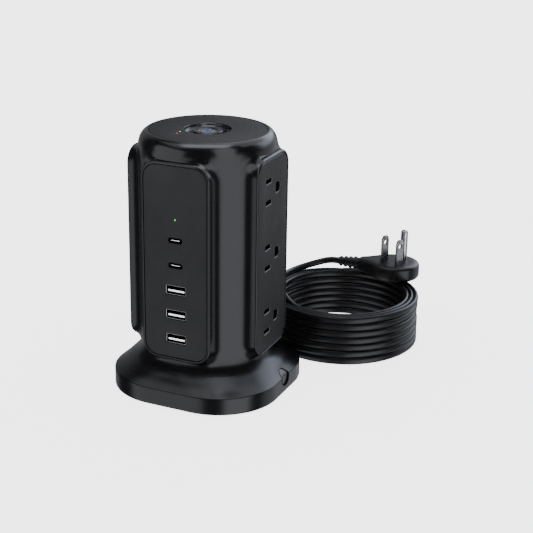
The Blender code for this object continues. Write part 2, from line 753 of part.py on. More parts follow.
def cord_tube(name, route):
    line = bpy.data.curves.new(name, "CURVE")
    line.dimensions = "3D"
    spline = line.splines.new("POLY")
    points = smooth_points(route, 2.2 * CORD)
    spline.points.add(len(points) - 1)
    for place, point in zip(spline.points, points):
        place.co = (*point, 1.0)
    line.bevel_depth = CORD / 2
    line.bevel_resolution = 2
    line.use_fill_caps = True
    line.materials.append(rubber_black())
    tube = bpy.data.objects.new(name, line)
    bpy.context.scene.collection.objects.link(tube)
    return tube


def cord_and_coil():
    """The cord: a strain relief in the base, a free lead, the coil as one turned ring, and a free tail."""
    axes = frame("strain_relief_axes", CORD_EXIT, (-math.pi / 2, 0.0, 0.0))
    flange = [
        (0.0, -6.0 * MM),
        (2.7 * MM, -6.0 * MM),
        (2.7 * MM, GAP),
        (4.8 * MM, GAP),
        (4.8 * MM, 1.8 * MM),
    ]
    body = relief_profile(3.9 * MM, CORD / 2 + 0.2 * MM, RELIEF_LONG, 6, [])
    profile = flange + [(radius, height) for radius, height in body if height > 1.8 * MM]
    solid("strain_relief", turned(profile, SMALL_ROUND), rubber_black(), parent=axes)
    cord_tube("cord_lead", LEAD_ROUTE)
    coil_in = COIL_OUT - COIL_LAYERS * CORD_THIN
    middle = frame("coil_axes", (*COIL_MIDDLE, 0.0))
    ring = [(coil_in, 0.0), (COIL_OUT, 0.0), (COIL_OUT, COIL_TALL), (coil_in, COIL_TALL)]
    solid("cord_coil", turned(ring, 56), rubber_black(), parent=middle)
    cord_tube("cord_tail", TAIL_ROUTE)


def plug_frame():
    """The plug's own axes: X out of the neck, Z along the blades, on the plug's flat back."""
    x = COIL_MIDDLE[0] + PLUG_REACH * math.cos(PLUG_ANGLE)
    y = COIL_MIDDLE[1] + PLUG_REACH * math.sin(PLUG_ANGLE)
    return frame("plug_axes", (x, y, COIL_TALL + GAP), (0.0, 0.0, NECK_ANGLE))


def blade(low, high):
    """A flat blade whose end narrows to a blunt point."""
    width, thick = BLADE_WIDE, BLADE_THICK
    tip = high - 2.5 * MM
    outline = [
        (-width / 2, low),
        (width / 2, low),
        (width / 2, tip),
        (width / 2 - 1.4 * MM, high),
        (1.4 * MM - width / 2, high),
        (-width / 2, tip),
    ]
    return lofted([[(x, y, z) for x, z in outline] for y in (thick / 2, -thick / 2)])


def plug():
    """The flat plug on its back on the coil: a round body with a neck, a relief, two blades and a pin."""
    axes = plug_frame()
    body = turned(
        [
            (0.0, 0.0),
            (PLUG_R - 1.6 * MM, 0.0),
            (PLUG_R, 1.4 * MM),
            (PLUG_R, PLUG_THICK - 1.2 * MM),
            (PLUG_R - 1.0 * MM, PLUG_THICK),
            (0.0, PLUG_THICK),
        ],
        40,
    )
    shell = solid("plug_body", body, gloss_black(), parent=axes)
    neck_axes = frame("neck_axes", (0.0, 0.0, PLUG_AXIS), (0.0, math.pi / 2, 0.0), axes)
    neck = lofted(
        [
            [(x, y, PLUG_R - 6.0 * MM) for x, y in rounded_outline(4.6 * MM, 9.0 * MM, 3.0 * MM, 3)],
            [(x, y, PLUG_R + 4.0 * MM) for x, y in rounded_outline(4.4 * MM, 5.6 * MM, 3.0 * MM, 3)],
            [(x, y, PLUG_R + NECK_LONG) for x, y in rounded_outline(4.0 * MM, 4.4 * MM, 3.0 * MM, 3)],
        ]
    )
    join(shell, tool("plug_neck", neck, parent=neck_axes))
    relief_at = (PLUG_R + NECK_LONG + GAP, 0.0, PLUG_AXIS)
    relief_axes = frame("plug_relief_axes", relief_at, (0.0, math.pi / 2, 0.0), axes)
    relief = relief_profile(3.6 * MM, CORD / 2 + 0.2 * MM, PLUG_RELIEF_LONG - 2 * GAP, 4, [(0.0, 0.0)])
    solid("plug_relief", turned(relief, SMALL_ROUND), rubber_black(), parent=relief_axes)
    blades = frame("blade_axes", turn=(0.0, 0.0, BLADE_SET_TURN), parent=axes)
    root = PLUG_THICK - BLADE_ROOT
    half_wide, half_thick = BLADE_WIDE / 2 + GAP, BLADE_THICK / 2 + GAP
    above = PLUG_THICK + 3.0 * MM
    for name, side in (("blade_line", 1.0), ("blade_neutral", -1.0)):
        at = (BLADE_SET_X, side * BLADE_SPACING / 2, 0.0)
        pocket = box((-half_wide, -half_thick, root - GAP), (half_wide, half_thick, above))
        cut(shell, tool(f"pocket_{name}", pocket, at, blades))
        solid(name, blade(root, PLUG_THICK + BLADE_LONG), nickel(), at, blades)
    at = (BLADE_SET_X - BLADE_TO_GROUND, 0.0, 0.0)
    cut(shell, tool("pocket_pin", disc(PIN_R + GAP, root - GAP, above), at, blades))
    tip = PLUG_THICK + PIN_LONG
    profile = [(0.0, root), (PIN_R, root), (PIN_R, tip - PIN_R), (PIN_R * 0.7, tip - 0.7 * MM), (0.0, tip)]
    solid("ground_pin", turned(profile, SMALL_ROUND), nickel(), at, blades)


def main():
    clear_scene()
    sides = {side: side_frame(side) for side in SIDES}
    tower_housing(sides)
    top()
    usb_panel(sides["front"])
    for side in ("right", "back", "left"):
        outlet_plate(side, sides[side])
        contacts(side, sides[side])
    base_cover()
    base_floor()
    reset_button()
    surge_parts()
    cord_and_coil()
    plug()


main()
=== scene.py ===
"""The looks of a tower power strip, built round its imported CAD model.

Metres, +Z up, in the CAD's own frame: the USB side faces -Y, and the outlets face +X, +Y and -X. Each
piece has its own function, and places come from the boxes of the CAD nodes.
"""

from math import asin, atan2, copysign, cos, hypot, pi, radians, sin, sqrt

import bmesh
import bpy
from mathutils import Matrix, Vector
from mathutils.geometry import delaunay_2d_cdt


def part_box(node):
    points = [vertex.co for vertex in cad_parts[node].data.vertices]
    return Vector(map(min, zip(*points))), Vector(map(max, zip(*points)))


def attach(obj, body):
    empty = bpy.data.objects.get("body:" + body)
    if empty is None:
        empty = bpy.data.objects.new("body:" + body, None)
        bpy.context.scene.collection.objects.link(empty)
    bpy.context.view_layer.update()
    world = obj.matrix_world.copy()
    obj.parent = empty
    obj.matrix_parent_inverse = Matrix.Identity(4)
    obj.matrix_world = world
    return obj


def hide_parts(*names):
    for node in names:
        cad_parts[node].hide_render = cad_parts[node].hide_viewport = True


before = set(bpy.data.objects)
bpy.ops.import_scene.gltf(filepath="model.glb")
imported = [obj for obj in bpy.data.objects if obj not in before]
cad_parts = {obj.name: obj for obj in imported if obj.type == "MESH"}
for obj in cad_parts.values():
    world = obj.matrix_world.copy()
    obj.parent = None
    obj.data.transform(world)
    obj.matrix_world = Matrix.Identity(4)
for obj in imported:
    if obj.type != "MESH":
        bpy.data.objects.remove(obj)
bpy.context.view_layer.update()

MM = 0.001
MERGE = 0.002 * MM
GAP = 0.3 * MM

# Tower: the plates' boxes give the panels, and the housing's box gives the heights.
SIDES = ("front", "right", "back", "left")
plate_low, plate_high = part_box("outlet_plate_right")
housing_low, housing_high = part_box("tower_housing")
RIM = 1.6 * MM
PLATE_FACE = plate_high.x
PLATE_THICK = plate_high.x - plate_low.x
PLATE_CORNER = 8.1 * MM
FACE = PLATE_FACE + GAP
BOSS_HALF = plate_high.y + RIM + GAP
BOSS_LOW = plate_low.z - RIM - GAP
BOSS_HIGH = plate_high.z + RIM + GAP
BOSS_MIDDLE = (BOSS_LOW + BOSS_HIGH) / 2
BOSS_CORNER = 10.0 * MM
BOSS_EDGE = 1.3 * MM
WINDOW_HALF = 17.3 * MM
WINDOW_MARGIN = 6.0 * MM
TOWER_R = 40.5 * MM
TOWER_TOP = housing_high.z
TOWER_LOW = housing_low.z - 0.2 * MM
SKIN_INNER_R = 37.0 * MM
SHOULDER_WIDE = 5.9 * MM
SHOULDER_TALL = 8.6 * MM
SHOULDER_START = TOWER_TOP - SHOULDER_TALL
FOOT_HALF = 43.6 * MM
FOOT_CORNER = 41.9 * MM
FOOT_HIGH = 27.0 * MM
RINGS_HIGH = 150.0 * MM
FILLET = 6.0 * MM
LEDGE_Z = 153.6 * MM
LEDGE_R = 31.5 * MM
TOP_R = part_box("top_plate")[1].x

# Outlets, in their panel's own axes: across to the right, then up.
OUTLET_HEIGHTS = (125.1 * MM, 85.6 * MM, 46.1 * MM)
BLADE_SPACING = 12.7 * MM
BLADE_TO_GROUND = 11.9 * MM
SLOT_X = -6.2 * MM
SLOT_WIDE = 7.8 * MM
SLOT_TALL = 2.6 * MM
GROUND_R = 3.1 * MM
GROUND_LONG = 3.9 * MM
USB_MOUTH = 0.55 * MM

# Base.
base_low, base_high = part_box("base_cover")
BASE_HALF = base_high.y
BASE_LOW = base_low.z
BASE_CORNER = 37.8 * MM
SKIRT_TOP = 11.0 * MM
BASE_WALL = 2.4 * MM
WELL_STEPS = 72

# Cord: an oval section, wound in upright layers.
CORD_TALL = 4.5 * MM
CORD_WIDE = 3.0 * MM
CORD_STEP = 2.5 * MM
CORD_CLEAR = 0.02 * MM
coil_low, coil_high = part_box("cord_coil")
COIL_MIDDLE = (coil_low + coil_high) / 2
COIL_TOP = coil_high.z
COIL_OUT = (coil_high.x - coil_low.x) / 2
COIL_ROWS = 7
COIL_LAYERS = 3
CORD_EXIT = (-8.0 * MM, BASE_HALF, 6.2 * MM)
# The cord's free stretches, in mm.
LEAD_ROUTE = (
    (-8.0, 56.0, 6.2), (-8.0, 68.0, 6.2), (-8.0, 80.3, 6.2), (-8.0, 86.0, 5.8), (-8.0, 92.0, 4.4),
    (-7.6, 98.0, 3.0), (-6.6, 104.0, 2.4), (-4.6, 110.0, 2.3), (-1.4, 116.5, 2.3), (3.0, 122.8, 2.3),
    (8.4, 128.6, 2.3), (14.7, 133.6, 2.3),
)
TAIL_ROUTE = (
    (7.2, 97.3, 34.6), (8.1, 106.4, 34.6), (10.1, 113.9, 34.7), (12.9, 120.4, 34.9), (16.2, 125.6, 35.4),
    (20.0, 128.8, 36.3), (24.4, 131.1, 37.6), (29.3, 132.2, 38.4), (32.3, 132.5, 38.5), (39.0, 133.15, 38.5),
)

# Plug, on its flat back on the coil: X out of its neck, Z along its blades.
PLUG_ANGLE = radians(62.0)
PLUG_REACH = 46.0 * MM
NECK_ANGLE = radians(185.6)
PLUG_R = 16.0 * MM
PLUG_THICK = 11.0 * MM
PLUG_AXIS = 6.2 * MM
NECK_LONG = 10.0 * MM
BLADE_SET_TURN = radians(62.0)
BLADE_SET_X = 4.0 * MM
BLADE_LONG = 17.0 * MM
PIN_LONG = 20.0 * MM


# --- materials


def settle(node, **values):
    """Sets a node's inputs; a low line in a name stands for a space."""
    for key, value in values.items():
        node.inputs[key.replace("_", " ")].default_value = value


class Nodes:
    """A short way to add and link shader nodes."""

    def __init__(self, tree):
        self.tree = tree

    def add(self, kind, **settings):
        node = self.tree.nodes.new(kind)
        for key, value in settings.items():
            setattr(node, key, value)
        return node

    def link(self, source, target):
        self.tree.links.new(source, target)

    def number(self, operation, first, second=None):
        """A Math node on sockets or plain numbers."""
        node = self.add("ShaderNodeMath", operation=operation)
        for place, value in enumerate((first, second)):
            if isinstance(value, (int, float)):
                node.inputs[place].default_value = value
            elif value is not None:
                self.link(value, node.inputs[place])
        return node.outputs[0]

    def ranged(self, value, low, high, out_low=0.0, out_high=1.0):
        node = self.add("ShaderNodeMapRange", interpolation_type="SMOOTHSTEP", clamp=True)
        self.link(value, node.inputs["Value"])
        settle(node, From_Min=low, From_Max=high, To_Min=out_low, To_Max=out_high)
        return node.outputs["Result"]

    def noise(self, place, size, detail=3.0, rough=0.55):
        """Noise with features of about this size in metres."""
        node = self.add("ShaderNodeTexNoise")
        settle(node, Scale=1.0 / size, Detail=detail, Roughness=rough)
        self.link(place, node.inputs["Vector"])
        return node.outputs["Fac"]

    def blend(self, factor, first, second):
        node = self.add("ShaderNodeMix", data_type="RGBA")
        self.link(factor, node.inputs["Factor"])
        settle(node, A=(*first, 1.0), B=(*second, 1.0))
        return node.outputs["Result"]


def surface(name, dark, light, rough, grain, depth, metallic=0.0, specular=0.5, smudge=25.0, coat=0.0,
            glow=None):
    """A moulded or plated surface: fine grain, tone that drifts, and a roughness that varies with handling.

    dark and light are the two tones, and rough the (least, most) roughness. In mm, grain is the size of the
    surface's texture, depth its height, and smudge the size of the drift. glow is a (colour, strength).
    """
    look = bpy.data.materials.new(name)
    look.use_nodes = True
    nodes = Nodes(look.node_tree)
    shader = look.node_tree.nodes["Principled BSDF"]
    place = nodes.add("ShaderNodeTexCoord").outputs["Object"]
    fine = nodes.noise(place, grain * MM)
    broad = nodes.noise(place, smudge * MM, 4.0)
    tone = nodes.number("ADD", nodes.number("MULTIPLY", fine, 0.4), nodes.number("MULTIPLY", broad, 0.6))
    nodes.link(nodes.blend(nodes.ranged(tone, 0.35, 0.65), dark, light), shader.inputs["Base Color"])
    handled = nodes.noise(place, smudge * MM * 0.6, 5.0, 0.65)
    nodes.link(nodes.ranged(handled, 0.3, 0.7, *rough), shader.inputs["Roughness"])
    bump = nodes.add("ShaderNodeBump")
    settle(bump, Strength=1.0, Distance=depth * MM)
    nodes.link(fine, bump.inputs["Height"])
    nodes.link(bump.outputs["Normal"], shader.inputs["Normal"])
    settle(shader, Metallic=metallic, Specular_IOR_Level=specular)
    if coat:
        settle(shader, Coat_Weight=coat, Coat_Roughness=0.12)
    if glow:
        settle(shader, Emission_Color=(*glow[0], 1.0), Emission_Strength=glow[1])
    return look


# By the record's slot name where there is one: (dark tone, light tone, roughness, grain, depth, the rest).
LOOK_TABLE = {
    "housing_gloss": ((0.0008, 0.00085, 0.0011), (0.0013, 0.00135, 0.0016), (0.2, 0.235), 0.8, 0.0015,
                      {"smudge": 40.0}),
    "base_gloss": ((0.0008, 0.00085, 0.0011), (0.0014, 0.00145, 0.0017), (0.21, 0.25), 0.8, 0.0015,
                   {"smudge": 40.0}),
    "panel_matte": ((0.0034, 0.0034, 0.0036), (0.0046, 0.0046, 0.0048), (0.5, 0.58), 0.28, 0.012,
                    {"specular": 0.34}),
    "button_gloss": ((0.003, 0.003, 0.0035), (0.005, 0.005, 0.0055), (0.16, 0.24), 0.6, 0.003, {}),
    "lens_blue": ((0.004, 0.006, 0.012), (0.006, 0.009, 0.018), (0.1, 0.16), 0.8, 0.002, {"coat": 0.6}),
    "lamp_red": ((0.3, 0.012, 0.012), (0.5, 0.03, 0.02), (0.2, 0.3), 0.5, 0.004,
                 {"glow": ((1.0, 0.05, 0.03), 0.16)}),
    "lamp_green": ((0.03, 0.3, 0.05), (0.06, 0.5, 0.1), (0.2, 0.3), 0.5, 0.004,
                   {"glow": ((0.1, 1.0, 0.1), 0.1)}),
    "grey_plastic": ((0.01, 0.01, 0.01), (0.018, 0.018, 0.0175), (0.5, 0.6), 0.4, 0.01, {}),
    "contact_brass": ((0.3, 0.2, 0.08), (0.45, 0.31, 0.13), (0.3, 0.45), 0.3, 0.006, {"metallic": 1.0}),
    "nickel_plate": ((0.42, 0.42, 0.43), (0.62, 0.62, 0.63), (0.2, 0.34), 0.35, 0.004,
                     {"metallic": 1.0, "smudge": 6.0}),
    "tongue_white": ((0.5, 0.51, 0.52), (0.62, 0.62, 0.62), (0.35, 0.45), 0.4, 0.006, {}),
    "board_green": ((0.008, 0.05, 0.02), (0.012, 0.08, 0.03), (0.35, 0.5), 1.2, 0.02, {"smudge": 5.0}),
    "varistor_blue": ((0.01, 0.03, 0.1), (0.02, 0.05, 0.16), (0.4, 0.55), 0.8, 0.03, {"smudge": 4.0}),
    "base_matte": ((0.006, 0.006, 0.0065), (0.01, 0.01, 0.0105), (0.5, 0.62), 0.35, 0.02, {}),
    "screw_steel": ((0.3, 0.3, 0.31), (0.46, 0.46, 0.47), (0.3, 0.42), 0.3, 0.005,
                    {"metallic": 1.0, "smudge": 3.0}),
    "foot_rubber": ((0.008, 0.008, 0.008), (0.014, 0.014, 0.014), (0.7, 0.8), 0.3, 0.03, {}),
    "cord_black": ((0.0011, 0.0011, 0.0013), (0.0018, 0.0018, 0.002), (0.32, 0.38), 0.6, 0.0015,
                   {"smudge": 30.0}),
    "plug_black": ((0.0014, 0.0014, 0.0016), (0.0024, 0.0024, 0.0026), (0.3, 0.36), 0.35, 0.004, {}),
    # Painted shade: a dull near-black put on the outlet hole walls, the USB shells' insides and the tongues'
    # sides, standing in for the shade in them.
    "painted_shade_black": ((0.0008, 0.0008, 0.0008), (0.0015, 0.0015, 0.0015), (0.6, 0.7), 0.5, 0.01,
                   {"specular": 0.1}),
    "symbol_blue": ((0.02, 0.05, 0.12), (0.03, 0.08, 0.18), (0.3, 0.4), 0.5, 0.003,
                    {"glow": ((0.12, 0.3, 0.72), 0.28)}),
    # Painted highlight: the hole lips are glossier than the panel, and their lighter colour and raised
    # specular paint a bright line along each lip.
    "gloss_and_painted_highlight_lip": ((0.006, 0.006, 0.0062), (0.009, 0.009, 0.0093), (0.24, 0.3), 0.28, 0.004,
                  {"specular": 0.9}),
}
LOOKS = {name: surface(name, *values, **rest) for name, (*values, rest) in LOOK_TABLE.items()}

# --- mesh helpers


def in_mm(*rows):
    """Rows of lengths given in millimetres, in metres."""
    return [tuple(value * MM for value in row) for row in rows]


def middle_of(name):
    """The middle of a CAD node's box."""
    return [(low + high) / 2 for low, high in zip(*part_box(name))]


def object_of(name, bm):
    """A new object from a bmesh, which is used up."""
    mesh = bpy.data.meshes.new(name)
    bm.to_mesh(mesh)
    bm.free()
    thing = bpy.data.objects.new(name, mesh)
    bpy.context.scene.collection.objects.link(thing)
    return thing


def soften(mesh, sharp):
    """Smooth shading, but for edges over an angle in degrees."""
    mesh.shade_smooth()
    mesh.set_sharp_from_angle(angle=radians(sharp))


def piece_of(name, bm, slot, node=(), body="strip", axes=None, look=None, sharp=38.0):
    """Turns a bmesh into a piece that rides on a body and stands for CAD nodes."""
    bmesh.ops.remove_doubles(bm, verts=bm.verts, dist=MERGE)
    bmesh.ops.recalc_face_normals(bm, faces=bm.faces)
    if axes is not None:
        bmesh.ops.transform(bm, matrix=axes, verts=bm.verts)
    thing = object_of(name, bm)
    soften(thing.data, sharp)
    thing.data.materials.append(LOOKS[look or slot])
    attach(thing, body)
    nodes = (node,) if isinstance(node, str) else node
    if nodes:
        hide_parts(*nodes)
    return thing


def repaint(thing, look, chosen, axes):
    """Another look for the faces that chosen(middle, normal) picks, in the given axes."""
    thing.data.materials.append(LOOKS[look])
    number = len(thing.data.materials) - 1
    back = axes.inverted()
    turn = back.to_3x3()
    for polygon in thing.data.polygons:
        if chosen(back @ polygon.center, turn @ polygon.normal):
            polygon.material_index = number


def side_axes(number):
    """A panel's own axes: X across to the right as it is looked at, Y up, Z out of the panel."""
    return Matrix.Rotation(pi / 2 * number, 4, "Z") @ Matrix.Rotation(pi / 2, 4, "X")


def bridge(bm, first, second, closed=True):
    count = len(first)
    for i in range(count if closed else count - 1):
        j = (i + 1) % count
        corners = list(dict.fromkeys((first[i], first[j], second[j], second[i])))
        if len(corners) > 2:
            bm.faces.new(corners)


def skinned(bm, rings, closed=True):
    """Rings of 3D points joined one to the next; gives back the rings' vertices."""
    loops = [[bm.verts.new(point) for point in ring] for ring in rings]
    for first, second in zip(loops, loops[1:]):
        bridge(bm, first, second, closed)
    return loops


def capped(rings, bm=None):
    """A closed solid through rings of 3D points, with a flat face at each end, added to bm if given."""
    bm = bmesh.new() if bm is None else bm
    loops = skinned(bm, rings)
    bm.faces.new(loops[0])
    bm.faces.new(loops[-1])
    return bm


def prism(outline, low, high, bm=None):
    return capped([[(x, y, z) for x, y in outline] for z in (low, high)], bm)


def rounded_outline(half_x, half_y, corner, steps, middle=(0.0, 0.0), runs=(1, 1), square=0.0):
    """A rectangle with round corners, anticlockwise. runs are the parts that the sides along X and Y are
    divided in, and square pushes the corners' points out, to a sharp corner at 1."""
    quarters = ((1, 1), (-1, 1), (-1, -1), (1, -1))
    points = []

    def corner_point(quarter, share):
        sx, sy = quarters[quarter % 4]
        angle = pi / 2 * (quarter + share)
        across, up = cos(angle), sin(angle)
        reach = corner * (1 + square * (1 / max(abs(across), abs(up)) - 1))
        x = middle[0] + sx * (half_x - corner) + reach * across
        y = middle[1] + sy * (half_y - corner) + reach * up
        return Vector((x, y))

    for quarter in range(4):
        points += [corner_point(quarter, step / steps) for step in range(steps + 1)]
        end, start = points[-1], corner_point(quarter + 1, 0.0)
        run = runs[quarter % 2]
        points += [end.lerp(start, part / run) for part in range(1, run)]
    return points


def circle_outline(radius, steps, middle=(0.0, 0.0)):
    angles = [2 * pi * i / steps for i in range(steps)]
    return [Vector((middle[0] + radius * cos(a), middle[1] + radius * sin(a))) for a in angles]


def eased(corners, steps=5):
    """The points of a profile through (radius, height, rounding) corners, each one rounded off."""
    points = []
    for i, (radius, height, rounding) in enumerate(corners):
        here = Vector((radius, height))
        if rounding == 0.0 or i in (0, len(corners) - 1):
            points.append(here)
            continue
        before = Vector(corners[i - 1][:2]) - here
        after = Vector(corners[i + 1][:2]) - here
        reach = min(rounding, 0.49 * before.length, 0.49 * after.length)
        start = here + before.normalized() * reach
        end = here + after.normalized() * reach
        for step in range(steps + 1):
            u = step / steps
            points.append(start * (1 - u) ** 2 + here * 2 * u * (1 - u) + end * u**2)
    return points


def lathed(profile, steps):
    """A profile of (radius, height) points spun round Z; points at radius 0 close it."""
    bm = bmesh.new()
    rings = []
    for radius, height in profile:
        if radius < 1e-7:
            rings.append([bm.verts.new((0.0, 0.0, height))] * steps)
        else:
            rings.append([bm.verts.new((x, y, height)) for x, y in circle_outline(radius, steps)])
    for first, second in zip(rings, rings[1:]):
        bridge(bm, first, second)
    return bm


def filled(bm, loops):
    """Fills the flat area between an outer ring of vertices and the rings of its holes."""
    verts = [vert for loop in loops for vert in loop]
    flat = [Vector((vert.co.x, vert.co.y)) / MM for vert in verts]
    edges = []
    start = 0
    for loop in loops:
        count = len(loop)
        edges += [(start + i, start + (i + 1) % count) for i in range(count)]
        start += count
    outer = list(range(len(loops[0])))
    _, _, faces, origins, _, _ = delaunay_2d_cdt(flat, edges, [outer], 2, 1e-5)
    for face in faces:
        bm.faces.new([verts[origins[i][0]] for i in face])


def drilled(loops):
    """A flat solid with holes. Each loop is (outline, profile): outline gives a ring's points for an
    outward offset from the material, and profile lists (offset, height) from the top face to the bottom
    one. The first loop is the outer edge."""
    bm = bmesh.new()
    rims = []
    for outline, profile in loops:
        rings = [[(x, y, height) for x, y in outline(offset)] for offset, height in profile]
        made = skinned(bm, rings)
        rims.append((made[0], made[-1]))
    filled(bm, [top for top, _ in rims])
    filled(bm, [bottom for _, bottom in rims])
    return bm


def edge_profile(high, low, rounding, steps=4):
    """An outer edge or a hole's wall from a face at one height to one at another, with a rounded lip."""
    points = []
    for step in range(steps + 1):
        angle = pi / 2 * step / steps
        points.append((rounding * (sin(angle) - 1), high - rounding * (1 - cos(angle))))
    return points + [(0.0, low)]


def smooth_line(route, spacing, before=None, after=None):
    """Points on a smooth curve through a route's points, each about one spacing from the next."""
    first = before or route[0] * 2 - route[1]
    last = after or route[-1] * 2 - route[-2]
    ends = [first, *route, last]
    points = []
    for p, a, b, q in zip(ends, ends[1:], ends[2:], ends[3:]):
        parts = max(1, round((b - a).length / spacing))
        for part in range(parts):
            t = part / parts
            cubic = (a - b) * 3 + (q - p)
            square = p * 2 - a * 5 + b * 4 - q
            points.append((a * 2 + (b - p) * t + square * t**2 + cubic * t**3) / 2)
    return [*points, route[-1]]


def swept(path, half_wide, half_tall, sides, sizes=None, power=1.0):
    """A closed tube of oval section along a path; sizes scales each ring, and a power below 1 flattens
    the section's sides."""
    rings = []
    for i, point in enumerate(path):
        tangent = (path[min(i + 1, len(path) - 1)] - path[max(i - 1, 0)]).normalized()
        side = tangent.cross(Vector((0.0, 0.0, 1.0))).normalized()
        top = side.cross(tangent)
        size = sizes[i] if sizes else 1.0
        ring = []
        for k in range(sides):
            angle = 2 * pi * k / sides
            across = copysign(abs(cos(angle)) ** power, cos(angle)) * half_wide
            rise = copysign(abs(sin(angle)) ** power, sin(angle)) * half_tall
            ring.append(point + (side * across + top * rise) * size)
        rings.append(ring)
    return capped(rings)


def cutter_of(name, bm, axes):
    bmesh.ops.recalc_face_normals(bm, faces=bm.faces)
    bmesh.ops.transform(bm, matrix=axes, verts=bm.verts)
    return object_of(name, bm)


def cut_away(thing, cutters, sharp=38.0):
    """Cuts closed shapes out of a piece for good, and removes them."""
    for cutter in cutters:
        step = thing.modifiers.new(cutter.name, "BOOLEAN")
        step.operation = "DIFFERENCE"
        step.solver = "EXACT"
        step.object = cutter
    view = bpy.context.evaluated_depsgraph_get()
    mesh = bpy.data.meshes.new_from_object(thing.evaluated_get(view))
    thing.modifiers.clear()
    thing.data = mesh
    soften(mesh, sharp)
    for cutter in cutters:
        bpy.data.objects.remove(cutter, do_unlink=True)


def smoothstep(value):
    share = min(max(value, 0.0), 1.0)
    return share * share * (3 - 2 * share)


# --- camera, stage


# Camera: its angles in degrees, its distance in metres, and how far to the right and how high it aims,
# in mm.
CAMERA_ANGLES = (26.405, 19.836)
CAMERA_AWAY = 0.7799
CAMERA_AIM = (1.54, 71.53)
CAMERA_LENS = 88.06
CAMERA_SHIFT = 0.1049


def make_camera():
    azimuth, elevation = map(radians, CAMERA_ANGLES)
    level = cos(elevation)
    back = Vector((sin(azimuth) * level, -cos(azimuth) * level, sin(elevation)))
    right = Vector((cos(azimuth), sin(azimuth), 0.0))
    aim = right * CAMERA_AIM[0] * MM + Vector((0.0, 0.0, CAMERA_AIM[1] * MM))
    data = bpy.data.cameras.new("camera")
    data.lens = CAMERA_LENS
    data.sensor_width = 36.0
    data.shift_x = CAMERA_SHIFT
    camera = bpy.data.objects.new("camera", data)
    bpy.context.scene.collection.objects.link(camera)
    camera.rotation_mode = "QUATERNION"
    camera.rotation_quaternion = (-back).to_track_quat("-Z", "Y")
    camera.location = aim + back * CAMERA_AWAY
    bpy.context.scene.camera = camera


def sheet_of(name, outline):
    """A flat sheet at the height 0."""
    bm = bmesh.new()
    bm.faces.new([bm.verts.new((x, y, 0.0)) for x, y in outline])
    return object_of(name, bm)


def glowing(name, tone, colour, strength, rough=0.5):
    """A surface with no shine that gives light."""
    look = bpy.data.materials.new(name)
    look.use_nodes = True
    settle(look.node_tree.nodes["Principled BSDF"], Base_Color=(tone, tone, tone, 1.0), Roughness=rough,
           Specular_IOR_Level=0.0, Emission_Color=(*colour, 1.0), Emission_Strength=strength)
    return look


def make_floor():
    """A plain pale floor that glows a little, so that shadows on it stay faint."""
    size = 14.0
    floor = sheet_of("floor", ((-size, -size), (size, -size), (size, size), (-size, size)))
    pale = glowing("floor_pale", tone=0.2, colour=(1.0, 1.0, 1.0), strength=3.2, rough=1.0)
    floor.data.materials.append(pale)
    floor.visible_glossy = False


# Softboxes that the gloss sees, in degrees: (from azimuth, to azimuth, from elevation, to elevation,
# softness across, softness in height, brightness). Azimuth 0 is in front of the USB side, and 90 in front
# of the right outlets. The cool ones are a little bluer.
SOFTBOXES = (
    (36.0, 84.0, -80.0, 8.0, 7.0, 12.0, 1.85),
    (-62.0, -4.0, -60.0, 2.0, 8.0, 10.0, 1.1),
    (-168.0, -110.0, -70.0, 36.0, 10.0, 14.0, 0.25),
    (-112.0, -28.0, 47.5, 90.0, 10.0, 2.5, 0.9),
    (-40.0, 30.0, 71.0, 90.0, 12.0, 4.0, 0.8),
    (114.0, 180.0, -80.0, 4.0, 8.0, 5.0, 0.6),
)
COOL_SOFTBOXES = (
    (26.0, 126.0, 71.0, 90.0, 12.0, 4.0, 1.9),
    (128.0, 190.0, 8.0, 50.0, 9.0, 8.0, 2.8),
    (124.0, 180.0, 56.0, 84.0, 10.0, 8.0, 1.5),
)
STUDIO = 4.0
STUDIO_DARK = 0.05
OVERHEAD = 0.35
OVERHEAD_RISE = (52.0, 68.0)
TINT = (0.96, 0.98, 1.04)
COOL_TINT = (0.86, 0.94, 1.1)

# Lit cards that only the gloss sees, for the shoulder, the dish and the coil: (a place on the object, the
# card's azimuth, elevation and distance from there, its width, its height, its brightness), in mm and
# degrees.
CARDS = (
    ((27.2, -27.2, 150.0), 52.0, 30.0, 45.0, 38.0, 56.0, 2.0),
    ((-6.7, -37.9, 150.0), -38.0, 12.0, 45.0, 66.0, 48.0, 1.4),
    ((-2.1, 11.8, 154.0), 20.0, 48.0, 60.0, 60.0, 50.0, 4.0),
    ((38.0, 96.0, 30.0), 0.0, 84.0, 220.0, 180.0, 150.0, 1.35),
)


def softbox_glow(nodes, x, y, z, boxes):
    """The summed brightness of some softboxes in the direction (x, y, z)."""
    flat = nodes.number("SUBTRACT", 1.0, nodes.number("MULTIPLY", z, z))
    level = nodes.number("SQRT", nodes.number("MAXIMUM", flat, 0.0001))
    total = 0.0
    for start, end, low, high, soft, rise_soft, strength in boxes:
        middle = radians((start + end) / 2)
        half = (end - start) / 2
        along = nodes.number("ADD", nodes.number("MULTIPLY", x, sin(middle)),
                             nodes.number("MULTIPLY", y, -cos(middle)))
        facing = nodes.number("DIVIDE", along, level)
        outer, inner = (cos(radians(max(half + side * soft, 0.0))) for side in (1, -1))
        shape = nodes.ranged(facing, outer, inner)
        bottom = [sin(radians(low + side * rise_soft)) for side in (-1, 1)]
        top = [sin(radians(min(high + side * rise_soft, 90.0))) for side in (-1, 1)]
        shape = nodes.number("MULTIPLY", shape, nodes.ranged(z, *bottom))
        shape = nodes.number("MULTIPLY", shape, nodes.ranged(z, *top, 1.0, 0.0))
        total = nodes.number("ADD", nodes.number("MULTIPLY", shape, strength), total)
    return total


